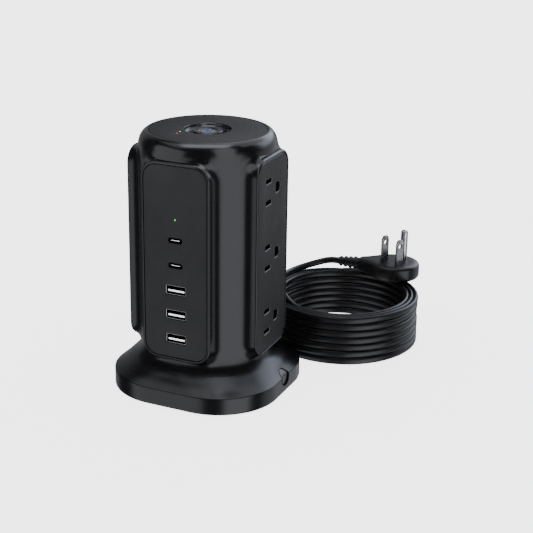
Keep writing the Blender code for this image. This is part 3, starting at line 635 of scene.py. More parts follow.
def make_studio():
    """Even white light, and softboxes for the gloss to show."""
    world = bpy.data.worlds.new("studio")
    bpy.context.scene.world = world
    world.use_nodes = True
    world.cycles.sampling_method = "NONE"
    nodes = Nodes(world.node_tree)
    background = world.node_tree.nodes["Background"]
    way = nodes.add("ShaderNodeTexCoord").outputs["Generated"]
    parts = nodes.add("ShaderNodeSeparateXYZ")
    nodes.link(way, parts.inputs[0])
    x, y, z = parts.outputs
    overhead = nodes.ranged(z, *(sin(radians(angle)) for angle in OVERHEAD_RISE), 0.0, OVERHEAD)
    plain = nodes.number("ADD", softbox_glow(nodes, x, y, z, SOFTBOXES), overhead)
    cool = softbox_glow(nodes, x, y, z, COOL_SOFTBOXES)
    total = nodes.number("ADD", nodes.number("ADD", plain, cool), STUDIO_DARK)
    glossy = nodes.add("ShaderNodeLightPath").outputs["Is Glossy Ray"]
    mix = nodes.add("ShaderNodeMix", data_type="FLOAT")
    nodes.link(glossy, mix.inputs["Factor"])
    mix.inputs["A"].default_value = STUDIO
    nodes.link(total, mix.inputs["B"])
    nodes.link(mix.outputs["Result"], background.inputs["Strength"])
    seen = nodes.blend(nodes.number("DIVIDE", cool, total), TINT, COOL_TINT)
    tint = nodes.add("ShaderNodeMix", data_type="RGBA")
    nodes.link(glossy, tint.inputs["Factor"])
    tint.inputs["A"].default_value = (0.985, 0.99, 1.0, 1.0)
    nodes.link(seen, tint.inputs["B"])
    nodes.link(tint.outputs["Result"], background.inputs["Color"])


def make_cards():
    for number, (spot, azimuth, elevation, away, wide, tall, strength) in enumerate(CARDS):
        az, el = radians(azimuth), radians(elevation)
        way = Vector((sin(az) * cos(el), -cos(az) * cos(el), sin(el)))
        card = sheet_of(f"card_{number}", rounded_outline(wide * MM / 2, tall * MM / 2, 12.0 * MM, 6))
        turn = (-way).to_track_quat("Z", "Y").to_matrix().to_4x4()
        card.matrix_world = Matrix.Translation((Vector(spot) + way * away) * MM) @ turn
        look = glowing(f"card_glow_{number}", tone=0.0, colour=TINT, strength=strength)
        look.cycles.emission_sampling = "NONE"
        card.data.materials.append(look)
        card.visible_camera = False
        card.visible_diffuse = False
        card.visible_shadow = False


# --- cord


def climbed(degrees, turns, early=30.0):
    """How many of the climbs at the ends of these turns are done, each 60 degrees long."""
    return sum(smoothstep((degrees - 360.0 * turn + early) / 60.0) for turn in turns)


def coil_points():
    """The wound stretch, clockwise from its back left: the outer layer up, the middle one down and the
    inner one up, each turn climbing a row where it passes the lead, and a rise onto the top at the end."""
    start, total, step = 125.0, 7495.0, 7.5
    entry_out, entry_long = 4.09 * MM, 56.0
    end_out, end_rise, end_long = 2.62 * MM, 4.9 * MM, 35.0
    fade_long = 150.0
    steps = round(total / step)
    row_tall = COIL_TOP / COIL_ROWS
    layer_ends = [COIL_ROWS * layer for layer in range(1, COIL_LAYERS)]
    points = []
    for i in range(steps + 1):
        p = total * i / steps
        row = climbed(p, range(1, COIL_ROWS)) - climbed(p, range(COIL_ROWS + 1, 2 * COIL_ROWS))
        row += climbed(p, range(2 * COIL_ROWS + 1, 3 * COIL_ROWS), 105.0)
        radius = COIL_OUT - CORD_WIDE / 2 + entry_out * max(0.0, 1 - p / entry_long) ** 2
        radius += end_out * smoothstep((p - total) / end_long + 1) - CORD_WIDE * climbed(p, layer_ends)
        z = row_tall * (row + 0.5) + end_rise * smoothstep((p - total + 60.0) / end_long)
        angle = radians(start - p)
        fade = smoothstep(p / fade_long) * smoothstep((total - p) / fade_long)
        drift = 0.45 * sin(2 * angle + 0.6) + 0.22 * sin(3 * angle + 0.9 * row)
        drift += 0.16 * sin(5 * angle + 2.3 * row)
        radius += drift * fade * MM
        place = Vector((radius * cos(angle), radius * sin(angle), z))
        points.append(place + Vector((COIL_MIDDLE.x, COIL_MIDDLE.y, 0.0)))
    return points


def make_cord(others):
    coil = coil_points()
    lead = [Vector(point) * MM for point in LEAD_ROUTE] + [coil[0]]
    tail = [coil[-1]] + [Vector(point) * MM for point in TAIL_ROUTE]
    path = smooth_line(lead, CORD_STEP, after=coil[1])[:-1] + coil
    path += smooth_line(tail, CORD_STEP, before=coil[-2])[1:]
    bm = swept(path, CORD_WIDE / 2 - CORD_CLEAR, CORD_TALL / 2 - CORD_CLEAR, 16, power=0.86)
    cord = piece_of("power_cord", bm, "cord_black", ("cord_lead", "cord_coil", "cord_tail"), sharp=60.0)


def relief_profile(root, tip, long, ribs, flange):
    """A tapered strain relief: a flange, soft rings that shrink towards the tip, and a rounded mouth."""
    corners = list(flange)
    for rib in range(ribs):
        for share, extra in ((0.0, 0.0), (0.1, 0.75), (0.52, 0.75), (0.62, 0.0)):
            along = (rib + share) / ribs
            radius = root + (tip - root) * along + extra * MM
            corners.append((radius, flange[-1][1] + (long - flange[-1][1]) * along, 0.3 * MM))
    corners += [(tip, long - 0.2 * MM, 0.3 * MM), (tip - 0.35 * MM, long, 0.0), (0.0, long, 0.0)]
    return eased(corners, 4)


def make_strain_relief():
    flange = in_mm((0.0, -5.0, 0.0), (2.7, -5.0, 0.0), (2.7, 0.1, 0.0), (4.9, 0.1, 0.3), (4.9, 1.9, 0.5),
                   (3.9, 2.2, 0.3), (3.9, 2.8, 0.0))
    profile = relief_profile(3.9 * MM, CORD_TALL / 2 + 0.2 * MM, 28.2 * MM, 6, flange)
    axes = Matrix.Translation(CORD_EXIT) @ Matrix.Rotation(-pi / 2, 4, "X")
    return piece_of("strain_relief_ribbed", lathed(profile, 40), "cord_black", "strain_relief", axes=axes)


# --- plug


def plug_axes():
    reach = Vector((cos(PLUG_ANGLE), sin(PLUG_ANGLE), 0.0)) * PLUG_REACH
    place = Vector((COIL_MIDDLE.x, COIL_MIDDLE.y, COIL_TOP + GAP)) + reach
    return Matrix.Translation(place) @ Matrix.Rotation(NECK_ANGLE, 4, "Z")


def plug_outline(angle):
    """How far the plug's outline is from its middle: a disc that runs into a neck with soft flanks."""
    low, high = 10.0 * MM, PLUG_R + NECK_LONG
    soft = 14.0 * MM
    for _ in range(24):
        middle = (low + high) / 2
        x, y = middle * cos(angle), abs(middle * sin(angle))
        disc = middle - PLUG_R
        half = 4.3 * MM + 1.5 * MM * smoothstep((PLUG_R + 4 * MM - x) / (12 * MM))
        neck = max(y - half, x - (PLUG_R + NECK_LONG - 0.5 * MM), -x)
        mix = max(soft - abs(disc - neck), 0.0) / soft if x > 0 else 0.0
        if min(disc, neck) - mix * mix * soft / 4 * smoothstep((PLUG_R + NECK_LONG - x) / (6 * MM)) < 0:
            low = middle
        else:
            high = middle
    return (low + high) / 2


def make_plug_body(axes):
    """The plug's body: crowned a little on both faces, with soft edges, thinner along its neck."""
    steps = 96
    outline = []
    for i in range(steps):
        angle = 2 * pi * i / steps
        reach = plug_outline(angle)
        outline.append(Vector((reach * cos(angle), reach * sin(angle))))
    half = PLUG_THICK / 2
    bm = bmesh.new()
    rings = []
    levels = 26
    for level in range(1, levels):
        turn = pi * level / levels
        size = sin(turn) ** 0.22
        lift = copysign(abs(cos(turn)) ** 0.42, cos(turn))
        ring = []
        for point in outline:
            x, y = point * size
            thin = smoothstep((x - 8.0 * MM) / (20.0 * MM))
            tall = half - 1.1 * MM * thin
            ring.append((x, y, half + (PLUG_AXIS - half) * thin + tall * lift))
        rings.append(ring)
    loops = skinned(bm, rings)
    for loop, z in ((loops[0], PLUG_THICK), (loops[-1], 0.0)):
        tip = bm.verts.new((0.0, 0.0, z))
        for i in range(steps):
            bm.faces.new((loop[i], loop[(i + 1) % steps], tip))
    return piece_of("plug_shell", bm, "plug_black", "plug_body", axes=axes, sharp=50.0)


def make_plug_relief(axes):
    flange = in_mm((0.0, -1.5, 0.0), (3.6, -1.5, 0.0), (3.6, 0.2, 0.0))
    profile = relief_profile(3.6 * MM, CORD_TALL / 2 + 0.2 * MM, 13.4 * MM, 4, flange)
    place = Matrix.Translation((PLUG_R + NECK_LONG + GAP, 0.0, PLUG_AXIS))
    turn = Matrix.Rotation(pi / 2, 4, "Y")
    return piece_of("plug_relief_ribbed", lathed(profile, 40), "plug_black", "plug_relief",
                    axes=axes @ place @ turn)


def make_blade(name, axes, side):
    """A flat blade with a hole near its tapered tip and softened edges."""
    half_wide, half_thick = 3.175 * MM, 0.75 * MM
    root, tip = PLUG_THICK - 3.0 * MM, PLUG_THICK + BLADE_LONG
    soft = 0.18 * MM

    def outline(offset):
        wide = half_wide + offset
        taper, blunt = 2.4 * MM, 1.5 * MM
        high = tip + offset
        corners = [(wide, root - offset, 0.0), (wide, high - taper, 0.6 * MM)]
        corners += [(wide - blunt, high, 0.6 * MM), (blunt - wide, high, 0.6 * MM)]
        corners += [(-wide, high - taper, 0.6 * MM), (-wide, root - offset, 0.0)]
        return eased(corners, 3)

    def hole(offset):
        return circle_outline(1.55 * MM - offset, 24, (0.0, tip - 4.6 * MM))

    walls = edge_profile(half_thick, -half_thick + soft, soft) + [(-soft, -half_thick)]
    bm = drilled([(outline, walls), (hole, walls)])
    upright = Matrix.Rotation(pi / 2, 4, "X")
    place = Matrix.Translation((BLADE_SET_X, side * BLADE_SPACING / 2, 0.0))
    turn = Matrix.Rotation(BLADE_SET_TURN, 4, "Z")
    return piece_of(f"{name}_drilled", bm, "nickel_plate", name, axes=axes @ turn @ place @ upright)


def make_pin(axes):
    radius, root, tip = 2.4 * MM, PLUG_THICK - 3.0 * MM, PLUG_THICK + PIN_LONG
    corners = [(0.0, root, 0.0), (radius, root, 0.0), (radius, tip - 0.6 * MM, 2.2 * MM),
               (0.5 * MM, tip, 0.4 * MM), (0.0, tip, 0.0)]
    place = Matrix.Translation((BLADE_SET_X - BLADE_TO_GROUND, 0.0, 0.0))
    turn = Matrix.Rotation(BLADE_SET_TURN, 4, "Z")
    return piece_of("ground_pin_rounded", lathed(eased(corners, 8), 32), "nickel_plate", "ground_pin",
                    axes=axes @ turn @ place)


def make_plug():
    axes = plug_axes()
    blades = [make_blade(name, axes, side) for name, side in (("blade_line", 1), ("blade_neutral", -1))]
    return [make_plug_body(axes), make_plug_relief(axes), make_pin(axes), *blades]


# --- tower


def foot_radius(angle):
    """The rounded square of the tower's foot, as a distance from the axis."""
    shift = FOOT_HALF - FOOT_CORNER
    across, along = abs(sin(angle)), abs(cos(angle))
    if across < along * shift / FOOT_HALF:
        return FOOT_HALF / along
    return shift * (across + along) + sqrt(FOOT_CORNER**2 - (shift * (along - across)) ** 2)


def column_radius(z, angle=0.0):
    """The round column with its soft shoulder, and its foot that sweeps out to a rounded square."""
    if z > SHOULDER_START:
        share = min((z - SHOULDER_START) / SHOULDER_TALL, 1.0)
        return TOWER_R - SHOULDER_WIDE + SHOULDER_WIDE * sqrt(1 - share * share)
    if z < FOOT_HIGH:
        share = (FOOT_HIGH - z) / (FOOT_HIGH - housing_low.z)
        return TOWER_R + (foot_radius(angle) - TOWER_R) * share**2.2
    return TOWER_R


def skin_radius(angle, z, blend):
    """How far the housing's surface is from the axis: column and panel, joined by a soft hollow."""
    low, high = 30.0 * MM, 64.0 * MM
    column = column_radius(z, angle)
    rise = max(abs(z - BOSS_MIDDLE) - ((BOSS_HIGH - BOSS_LOW) / 2 - BOSS_CORNER), 0.0)
    for _ in range(24):
        reach = (low + high) / 2
        across = max(abs(reach * sin(angle)) - (BOSS_HALF - BOSS_CORNER), 0.0)
        side = hypot(across, rise) - BOSS_CORNER + BOSS_EDGE
        front = reach * cos(angle) - FACE + BOSS_EDGE
        boss = min(max(side, front), 0.0) + hypot(max(side, 0.0), max(front, 0.0)) - BOSS_EDGE
        mix = max(blend - abs(boss - (reach - column)), 0.0) / blend if blend else 0.0
        if min(boss, reach - column) - mix * mix * blend / 4 < 0:
            low = reach
        else:
            high = reach
    return (low + high) / 2


def skin_point(across, z, offset):
    """A point of the outer skin where the ray through (across, z) on the panel's plane meets it."""
    angle = atan2(across, FACE)
    level = min(max(z, BOSS_LOW), BOSS_HIGH)
    proud = hypot(FACE, min(abs(across), BOSS_HALF)) - column_radius(level, angle)
    blend = min(FILLET, 0.9 * proud) * smoothstep(offset / (0.6 * MM))
    reach = skin_radius(angle, z, blend)
    return (reach * sin(angle), z, reach * cos(angle))


def round_point(across, z, radius):
    angle = atan2(across, FACE)
    return (radius * sin(angle), z, radius * cos(angle))


def panel_ring(offset):
    """The panel's outline moved out by an offset; the furthest ring is the square edge of its quarter."""
    near = 3.0 * MM
    reach = FACE - BOSS_HALF
    share = max(offset - near, 0.0) / (reach - near)
    high = BOSS_HIGH + min(offset, near) + (RINGS_HIGH - BOSS_HIGH - near) * share
    low = BOSS_LOW - min(offset, near) - (BOSS_LOW - near - TOWER_LOW) * share
    corner = max(BOSS_CORNER + min(offset, near), 1.0 * MM)
    middle = (0.0, (high + low) / 2)
    return rounded_outline(BOSS_HALF + offset, (high - low) / 2, corner, 16, middle, (10, 36), share)


def make_tower():
    """The tower's shell: four quarters, each with its rim, pocket and window, and the shoulder on top."""
    far = FACE - BOSS_HALF
    outer = [0.0, 0.2, 0.45, 0.75, 1.1, 1.5, 2.0, 2.6, 3.3, 4.2, 5.2, 6.4, 8.0, 10.0, 12.5, 15.5, 18.0]
    lip = 0.25 * MM
    ledge = PLATE_FACE - PLATE_THICK - GAP
    bm = bmesh.new()
    for side in range(4):
        window = rounded_outline(WINDOW_HALF, (BOSS_HIGH - BOSS_LOW) / 2 - WINDOW_MARGIN, 3.0 * MM, 16,
                                 (0.0, BOSS_MIDDLE), (10, 36))
        edge = panel_ring(far)
        rings = [[round_point(x, z, SKIN_INNER_R) for x, z in edge]]
        rings.append([round_point(x, z, SKIN_INNER_R) for x, z in window])
        rings.append([(x, z, ledge) for x, z in window])
        for offset, height in ((-RIM, ledge), (-RIM, FACE - lip), (-RIM + 0.08 * MM, FACE - 0.07 * MM),
                               (-RIM + lip, FACE)):
            rings.append([(x, z, height) for x, z in panel_ring(offset)])
        for offset in (-BOSS_EDGE, -0.7 * BOSS_EDGE, -0.45 * BOSS_EDGE, -0.2 * BOSS_EDGE):
            rings.append([skin_point(x, z, offset) for x, z in panel_ring(offset)])
        for offset in [value * MM for value in outer] + [far]:
            rings.append([skin_point(x, z, offset) for x, z in panel_ring(offset)])
        new = sum(skinned(bm, rings), [])
        across = sorted({round(x, 7) for x, z in edge if abs(z - RINGS_HIGH) < 0.001 * MM})
        rows = [[skin_point(x, RINGS_HIGH, far) for x in across]]
        first = asin((RINGS_HIGH - SHOULDER_START) / SHOULDER_TALL)
        for step in range(1, 17):
            angle = first + (pi / 2 - first) * step / 16
            radius = TOWER_R - SHOULDER_WIDE + SHOULDER_WIDE * cos(angle)
            z = SHOULDER_START + SHOULDER_TALL * sin(angle)
            rows.append([round_point(x, z, radius) for x in across])
        hole = TOP_R + GAP
        inner = [(hole + 0.05 * MM, TOWER_TOP - 0.03 * MM), (hole, TOWER_TOP - 0.15 * MM), (hole, LEDGE_Z)]
        inner += [(LEDGE_R, LEDGE_Z), (LEDGE_R, LEDGE_Z - 1.6 * MM), (SKIN_INNER_R, RINGS_HIGH)]
        rows += [[round_point(x, z, radius) for x in across] for radius, z in inner]
        new += sum(skinned(bm, rows, closed=False), [])
        feet = sorted({round(x, 7) for x, z in edge if abs(z - TOWER_LOW) < 0.001 * MM})
        rows = [[skin_point(x, TOWER_LOW, far) for x in feet]]
        rows.append([round_point(x, TOWER_LOW, SKIN_INNER_R) for x in feet])
        new += sum(skinned(bm, rows, closed=False), [])
        bmesh.ops.transform(bm, matrix=side_axes(side), verts=new)
    return piece_of("tower_shell", bm, "housing_gloss", "tower_housing", sharp=45.0)


def plate_outline(offset):
    half_y = (plate_high.z - plate_low.z) / 2
    return rounded_outline(plate_high.y + offset, half_y + offset, PLATE_CORNER + offset, 12,
                           (0.0, BOSS_MIDDLE))


def plate_wall(lip, steps=4):
    """The profile of a plate's edge or of a hole through it, with a rounded lip."""
    return edge_profile(PLATE_FACE, PLATE_FACE - PLATE_THICK, lip, steps)


def make_outlet_plate(side, number):
    """A plate with three outlets: two blade slots one above the other, and a D-shaped ground hole."""
    lip = 0.45 * MM
    lips = plate_wall(lip, 6)
    loops = [(plate_outline, plate_wall(0.3 * MM))]

    def slot_at(height):
        def outline(offset):
            corner = max(0.4 * MM - offset, 0.05 * MM)
            return rounded_outline(SLOT_WIDE / 2 - offset, SLOT_TALL / 2 - offset, corner, 4,
                                   (SLOT_X, height))
        return outline

    def ground_at(height):
        def outline(offset):
            radius = GROUND_R - offset
            left = SLOT_X + BLADE_TO_GROUND - GROUND_LONG / 2 + offset
            middle = SLOT_X + BLADE_TO_GROUND + GROUND_LONG / 4
            points = [Vector((left, height + radius)), Vector((left, height - radius))]
            for step in range(17):
                angle = pi * (step / 16 - 0.5)
                points.append(Vector((middle + radius * cos(angle), height + radius * sin(angle))))
            return points
        return outline

    for height in OUTLET_HEIGHTS:
        loops.append((slot_at(height + BLADE_SPACING / 2), lips))
        loops.append((slot_at(height - BLADE_SPACING / 2), lips))
        loops.append((ground_at(height), lips))
    axes = side_axes(number)
    panel = piece_of(f"outlet_panel_{side}", drilled(loops), "panel_matte", f"outlet_plate_{side}",
                     axes=axes, sharp=30.0)
    inner = plate_high.y - 4.0 * MM
    bottom = PLATE_FACE - lip - 0.01 * MM
    # Painted highlight: the rounded lips of the holes get the lighter, glossier lip look.
    repaint(panel, "gloss_and_painted_highlight_lip", lambda p, n: abs(p.x) < inner and bottom < p.z < PLATE_FACE - 0.01 * MM, axes)
    # Painted shade: the hole walls below the lips are made near-black for the shade inside the slots.
    repaint(panel, "painted_shade_black", lambda p, n: abs(p.x) < inner and p.z < bottom and abs(n.z) < 0.5, axes)


# --- USB


def usb_outline(kind, grow):
    """The outline of a USB-A or USB-C shell in a socket's own axes, moved out by an amount."""
    if kind == "a":
        return rounded_outline(6.55 * MM + grow, 2.85 * MM + grow, max(0.7 * MM + grow, 0.25 * MM), 6)
    half = 1.6 * MM + grow
    return rounded_outline(4.5 * MM + grow, half, half * 0.98, 10)


def usb_sockets():
    """(kind, name, height) of each socket, from the CAD's shells."""
    found = []
    for kind, number in (("a", 1), ("a", 2), ("a", 3), ("c", 1), ("c", 2)):
        name = f"usb_{kind}_{number}"
        found.append((kind, name, middle_of(f"{name}_shell")[2]))
    return found


def make_lamp(name, radius, lift, foot, slot, axes):
    """A lamp's dome. Its crown is at lift and its lower end at foot, in mm."""
    dome = [(0.0, lift * MM, 0.0), (0.6 * radius, (lift - 0.05) * MM, 0.3 * MM),
            (radius, (lift - 0.45) * MM, 0.2 * MM), (radius, foot * MM, 0.0), (0.0, foot * MM, 0.0)]
    piece_of(f"{name}_dome", lathed(eased(dome), 28), slot, name, axes=axes)


def make_usb_plate():
    lips = plate_wall(0.22 * MM)
    loops = [(plate_outline, plate_wall(0.3 * MM))]

    def opening_at(kind, height):
        def outline(offset):
            return [point + Vector((0.0, height)) for point in usb_outline(kind, 0.1 * MM - offset)]
        return outline

    for kind, _, height in usb_sockets():
        loops.append((opening_at(kind, height), lips))
    lamp_low, lamp_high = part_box("lamp_usb")
    lamp_z = (lamp_low.z + lamp_high.z) / 2
    lamp_r = (lamp_high.x - lamp_low.x) / 2 - 0.1 * MM
    loops.append((lambda offset: circle_outline(lamp_r + 0.08 * MM - offset, 24, (0.0, lamp_z)), lips))
    piece_of("usb_panel", drilled(loops), "panel_matte", "usb_plate", axes=side_axes(0), sharp=30.0)
    place = Matrix.Translation((0.0, lamp_z, PLATE_FACE))
    make_lamp("lamp_usb", lamp_r, 0.0, -6.0, "lamp_green", side_axes(0) @ place)


def make_usb_socket(kind, name, height):
    """A plated shell with a rolled mouth, and the tongue inside with its contacts."""
    face, back, wall = PLATE_FACE, PLATE_FACE - 12.0 * MM, 0.4 * MM
    mouth = face - USB_MOUTH
    profile = [(0.0, back), (0.0, mouth - 0.2 * MM), (-0.06 * MM, mouth - 0.06 * MM), (-0.16 * MM, mouth),
               (-0.26 * MM, mouth), (-0.36 * MM, mouth - 0.1 * MM), (-wall, mouth - 0.3 * MM),
               (-wall, face - 11.0 * MM)]
    rings = [[(x, y, z) for x, y in usb_outline(kind, grow)] for grow, z in profile]
    place = side_axes(0) @ Matrix.Translation((0.0, height, 0.0))
    shell = piece_of(f"{name}_can", capped(rings), "nickel_plate", f"{name}_shell", axes=place, sharp=50.0)
    # Painted shade: the shell's inside beyond its mouth is made near-black for the shade inside the socket.
    deep = mouth - (0.5 if kind == "a" else -0.1) * MM
    repaint(shell, "painted_shade_black", lambda p, n: p.z < deep, place)
    root, tip = face - 11.4 * MM, face - (1.0 if kind == "a" else 0.6) * MM
    low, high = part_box(f"{name}_tongue")
    half_x, half_y, lift = (high.x - low.x) / 2, (high.z - low.z) / 2, (low.z + high.z) / 2 - height
    if kind == "c":
        half_x, half_y = half_x - 0.4 * MM, 0.2 * MM
    else:
        half_x, half_y, lift = half_x - 0.3 * MM, half_y - 0.3 * MM, lift + 0.3 * MM
    ends = [(0.0, root), (0.0, tip - 0.25 * MM), (-0.08 * MM, tip - 0.07 * MM), (-0.25 * MM, tip)]
    rings = []
    for grow, z in ends:
        outline = rounded_outline(half_x + grow, half_y + grow, 0.28 * MM + grow, 4, (0.0, lift))
        rings.append([(x, y, z) for x, y in outline])
    slot = "tongue_white" if kind == "a" else "nickel_plate"
    blade = piece_of(f"{name}_blade", capped(rings), slot, f"{name}_tongue", axes=place,
                     look="tongue_white", sharp=45.0)
    # Painted shade: every face of the tongue but its end faces is made near-black for the shade inside the
    # shell.
    repaint(blade, "painted_shade_black", lambda p, n: abs(n.z) < 0.5, place)
    count = 4 if kind == "a" else 6
    pitch = (2.3 if kind == "a" else 0.9) * MM
    wide = (0.55 if kind == "a" else 0.16) * MM
    bm = bmesh.new()
    for i in range(count):
        x = (i - (count - 1) / 2) * pitch
        prism(rounded_outline(wide, 0.16 * MM, 0.1 * MM, 2, (x, lift + half_y)), root, tip - 3.5 * MM, bm)
    piece_of(f"{name}_contacts", bm, "contact_brass", axes=place)


# --- top


def lamp_places():
    spots = []
    for name in ("lamp_surge", "lamp_ground"):
        low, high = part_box(name)
        spots.append((name, (low.x + high.x) / 2, (low.y + high.y) / 2, (high.x - low.x) / 2 - 0.2 * MM))
    return spots


def make_top():
    """The matte top with its dish for the button, and the two lamps in it."""
    dish = 13.8 * MM
    throat = 9.2 * MM
    low = LEDGE_Z + GAP
    rim = edge_profile(TOWER_TOP, low, 0.3 * MM)
    bowl = [(-0.45, 0.0), (-0.3, -0.02), (-0.12, -0.1), (0.0, -0.28), (0.06, -0.7), (0.14, -1.2),
            (0.35, -1.75), (0.75, -2.25), (1.3, -2.6), (2.0, -2.85), (2.8, -3.0), (3.6, -3.1),
            (4.2, -3.16), (4.5, -3.3), (4.6, -3.6)]
    profile = [(offset * MM, TOWER_TOP + drop * MM) for offset, drop in bowl]
    profile += [(dish - throat, 150.0 * MM), (-1.2 * MM, 150.0 * MM), (-2.0 * MM, low)]
    loops = [(lambda offset: circle_outline(TOP_R + offset, 128), rim)]
    loops.append((lambda offset: circle_outline(dish - offset, 96), profile))
    lips = edge_profile(TOWER_TOP, low, 0.18 * MM)

    def hole_at(x, y, radius):
        return lambda offset: circle_outline(radius + 0.15 * MM - offset, 24, (x, y))

    for name, x, y, radius in lamp_places():
        loops.append((hole_at(x, y, radius), lips))
        slot = "lamp_red" if name == "lamp_surge" else "lamp_green"
        make_lamp(name, radius, 0.05, -5.0, slot, Matrix.Translation((x, y, TOWER_TOP)))
    disc = piece_of("top_disc", drilled(loops), "panel_matte", "top_plate", sharp=32.0)
    repaint(disc, "button_gloss", lambda p, n: hypot(p.x, p.y) < dish + 0.4 * MM
            and p.z < TOWER_TOP - 0.01 * MM, Matrix())


def make_power_button():
    """The round push button: a dished cap with a soft rim, its lens, and the lit power sign."""
    axes = Matrix.Translation((0.0, 0.0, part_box("power_button")[1].z))
    cap = in_mm((0.0, -9.0, 0.0), (3.0, -9.0, 0.2), (3.0, -7.3, 0.2), (10.3, -7.3, 0.2), (10.3, -5.9, 0.2),
                (8.8, -5.9, 0.2), (8.8, 0.0, 0.9), (7.2, 0.0, 0.8), (5.3, -0.5, 0.3), (5.05, -0.9, 0.1),
                (0.0, -0.9, 0.0))
    piece_of("power_button_cap", lathed(eased(cap, 6), 96), "button_gloss", "power_button", "power_button",
             axes, sharp=50.0)
    lens = in_mm((0.0, -0.95, 0.0), (4.95, -0.95, 0.0), (4.95, -0.55, 0.15), (0.0, -0.62, 0.0))
    piece_of("power_lens_disc", lathed(eased(lens, 4), 72), "lens_blue", "power_lens", "power_button",
             axes, sharp=50.0)
    level, radius, opening = -0.52 * MM, 3.1 * MM, 38.0
    arc = []
    for i in range(41):
        angle = radians(90 + opening + (360 - 2 * opening) * i / 40)
        arc.append(Vector((radius * cos(angle), radius * sin(angle), level)))
    bar = [Vector((0.0, (0.7 + 3.0 * i / 10) * MM, level)) for i in range(11)]
    for name, line in (("power_sign_ring", arc), ("power_sign_bar", bar)):
        ends = len(line) - 1
        sizes = [min(1.0, 0.45 + 0.4 * min(i, ends - i)) for i in range(ends + 1)]
        piece_of(name, swept(line, 0.31 * MM, 0.11 * MM, 12, sizes), "lens_blue", body="power_button",
                 axes=axes, look="symbol_blue")


# --- base


def base_ring(half, corner, z):
    return [(x, y, z) for x, y in rounded_outline(half, half, corner, 24, runs=(10, 10))]


def make_base():
    """The flared base: an upright skirt, a crisp edge, and a slope that sweeps up to the tower."""
    half, corner, wall = BASE_HALF, BASE_CORNER, BASE_WALL

    def rings_by(level, *offsets):
        """Rings by their offsets in mm from the skirt's half width, its corner and a level."""
        return [(half + a * MM, corner + b * MM, level + c * MM) for a, b, c in offsets]

    rings = rings_by(BASE_LOW, (-0.5, -0.5, 0.0), (-0.12, -0.1, 0.15), (0.0, 0.0, 0.5))
    foot, skirt = BASE_LOW + 0.5 * MM, SKIRT_TOP - 0.55 * MM
    rings += [(half, corner, foot + (skirt - foot) * i / 6) for i in range(1, 7)]
    rings += rings_by(SKIRT_TOP, (-0.06, -0.06, -0.3), (-0.24, -0.24, -0.08))
    sweep = rings_by(SKIRT_TOP, (-0.5, -0.5, 0.06), (-3.3, 1.8, 2.6), (-5.8, 3.4, 5.4))
    sweep.append((FOOT_HALF + 0.02 * MM, FOOT_CORNER + 0.02 * MM, TOWER_LOW + 0.15 * MM))
    beyond = Vector((41.7, 41.2, 22.0)) * MM
    outer = rings + [tuple(p) for p in smooth_line([Vector(p) for p in sweep], 0.7 * MM, after=beyond)]
    inner = [(38.2 * MM, 38.0 * MM, TOWER_LOW + 0.15 * MM), (38.2 * MM, 38.0 * MM, 15.5 * MM),
             (half - wall - 7.4 * MM, corner - wall + 1.0 * MM, 13.6 * MM),
             (half - wall - 4.0 * MM, corner - wall, 11.8 * MM), (half - wall, corner - wall, 9.8 * MM),
             (half - wall, corner - wall, BASE_LOW)]
    bm = bmesh.new()
    loops = skinned(bm, [base_ring(*ring) for ring in outer + inner])
    bridge(bm, loops[-1], loops[0])
    cover = piece_of("base_shell", bm, "base_gloss", "base_cover", sharp=35.0)
    height = middle_of("reset_button")[2]
    sideways = Matrix.Translation((0.0, 0.0, height)) @ Matrix.Rotation(pi / 2, 4, "Y")
    radius = 5.15 * MM
    recess = prism(circle_outline(radius, 64), 40.0 * MM, half + MM)
    cord = prism(circle_outline(3.0 * MM, 32), -9.0 * MM, 6.0 * MM)
    cord_way = Matrix.Translation(CORD_EXIT) @ Matrix.Rotation(-pi / 2, 4, "X")
    cut_away(cover, [cutter_of("recess", recess, sideways), cutter_of("cord_way", cord, cord_way)], 35.0)
    make_recess_cup(height, radius, half - 8.9 * MM, outer)
    make_reset_button(height, outer)


def slope_reach(z, outer):
    """How far out the base's outer surface is at this height, on its right side near the middle."""
    for (low_half, _, low_z), (high_half, _, high_z) in zip(outer, outer[1:]):
        if low_z <= z <= high_z:
            return low_half + (high_half - low_half) * (z - low_z) / max(high_z - low_z, 1e-9)
    return outer[0][0]


def make_recess_cup(height, radius, deep, outer):
    """The reset button's well: a lining that follows the slope at its mouth, with a soft lip."""
    mouth = []
    for rise, y in circle_outline(radius, WELL_STEPS):
        mouth.append(Vector((slope_reach(height + rise, outer), y, height + rise)))
    lip = []
    for i, point in enumerate(mouth):
        tangent = (mouth[(i + 1) % WELL_STEPS] - mouth[i - 1]).normalized()
        inward = Vector((0.0, -point.y, height - point.z)).normalized()
        out = inward.cross(tangent)
        out = out if out.x > 0 else -out
        turns = [2 * pi * k / 8 for k in range(8)]
        lip.append([point + (inward * cos(a) + out * sin(a)) * 0.24 * MM for a in turns])
    bm = bmesh.new()
    skinned(bm, [*lip, lip[0]])
    piece_of("reset_well_lip", bm, "base_gloss", sharp=60.0)

    def ring(spread, reach):
        """The mouth's outline widened by a factor, as far out as reach says."""
        return [Vector((reach(p.x), p.y * spread, height + (p.z - height) * spread)) for p in mouth]

    seat, back = 0.05 * MM, deep - 1.2 * MM
    rings = [ring(1.0, lambda x, share=share: x - seat + (deep - x + seat) * share)
             for share in (0.0, 0.5, 1.0)]
    rings += [ring(0.4, lambda x: deep), ring(0.4, lambda x: back), ring(1.12, lambda x: back)]
    rings += [ring(1.12, lambda x: x - 0.9 * MM), rings[0]]
    bm = bmesh.new()
    skinned(bm, rings)
    piece_of("reset_well", bm, "base_gloss", sharp=40.0)


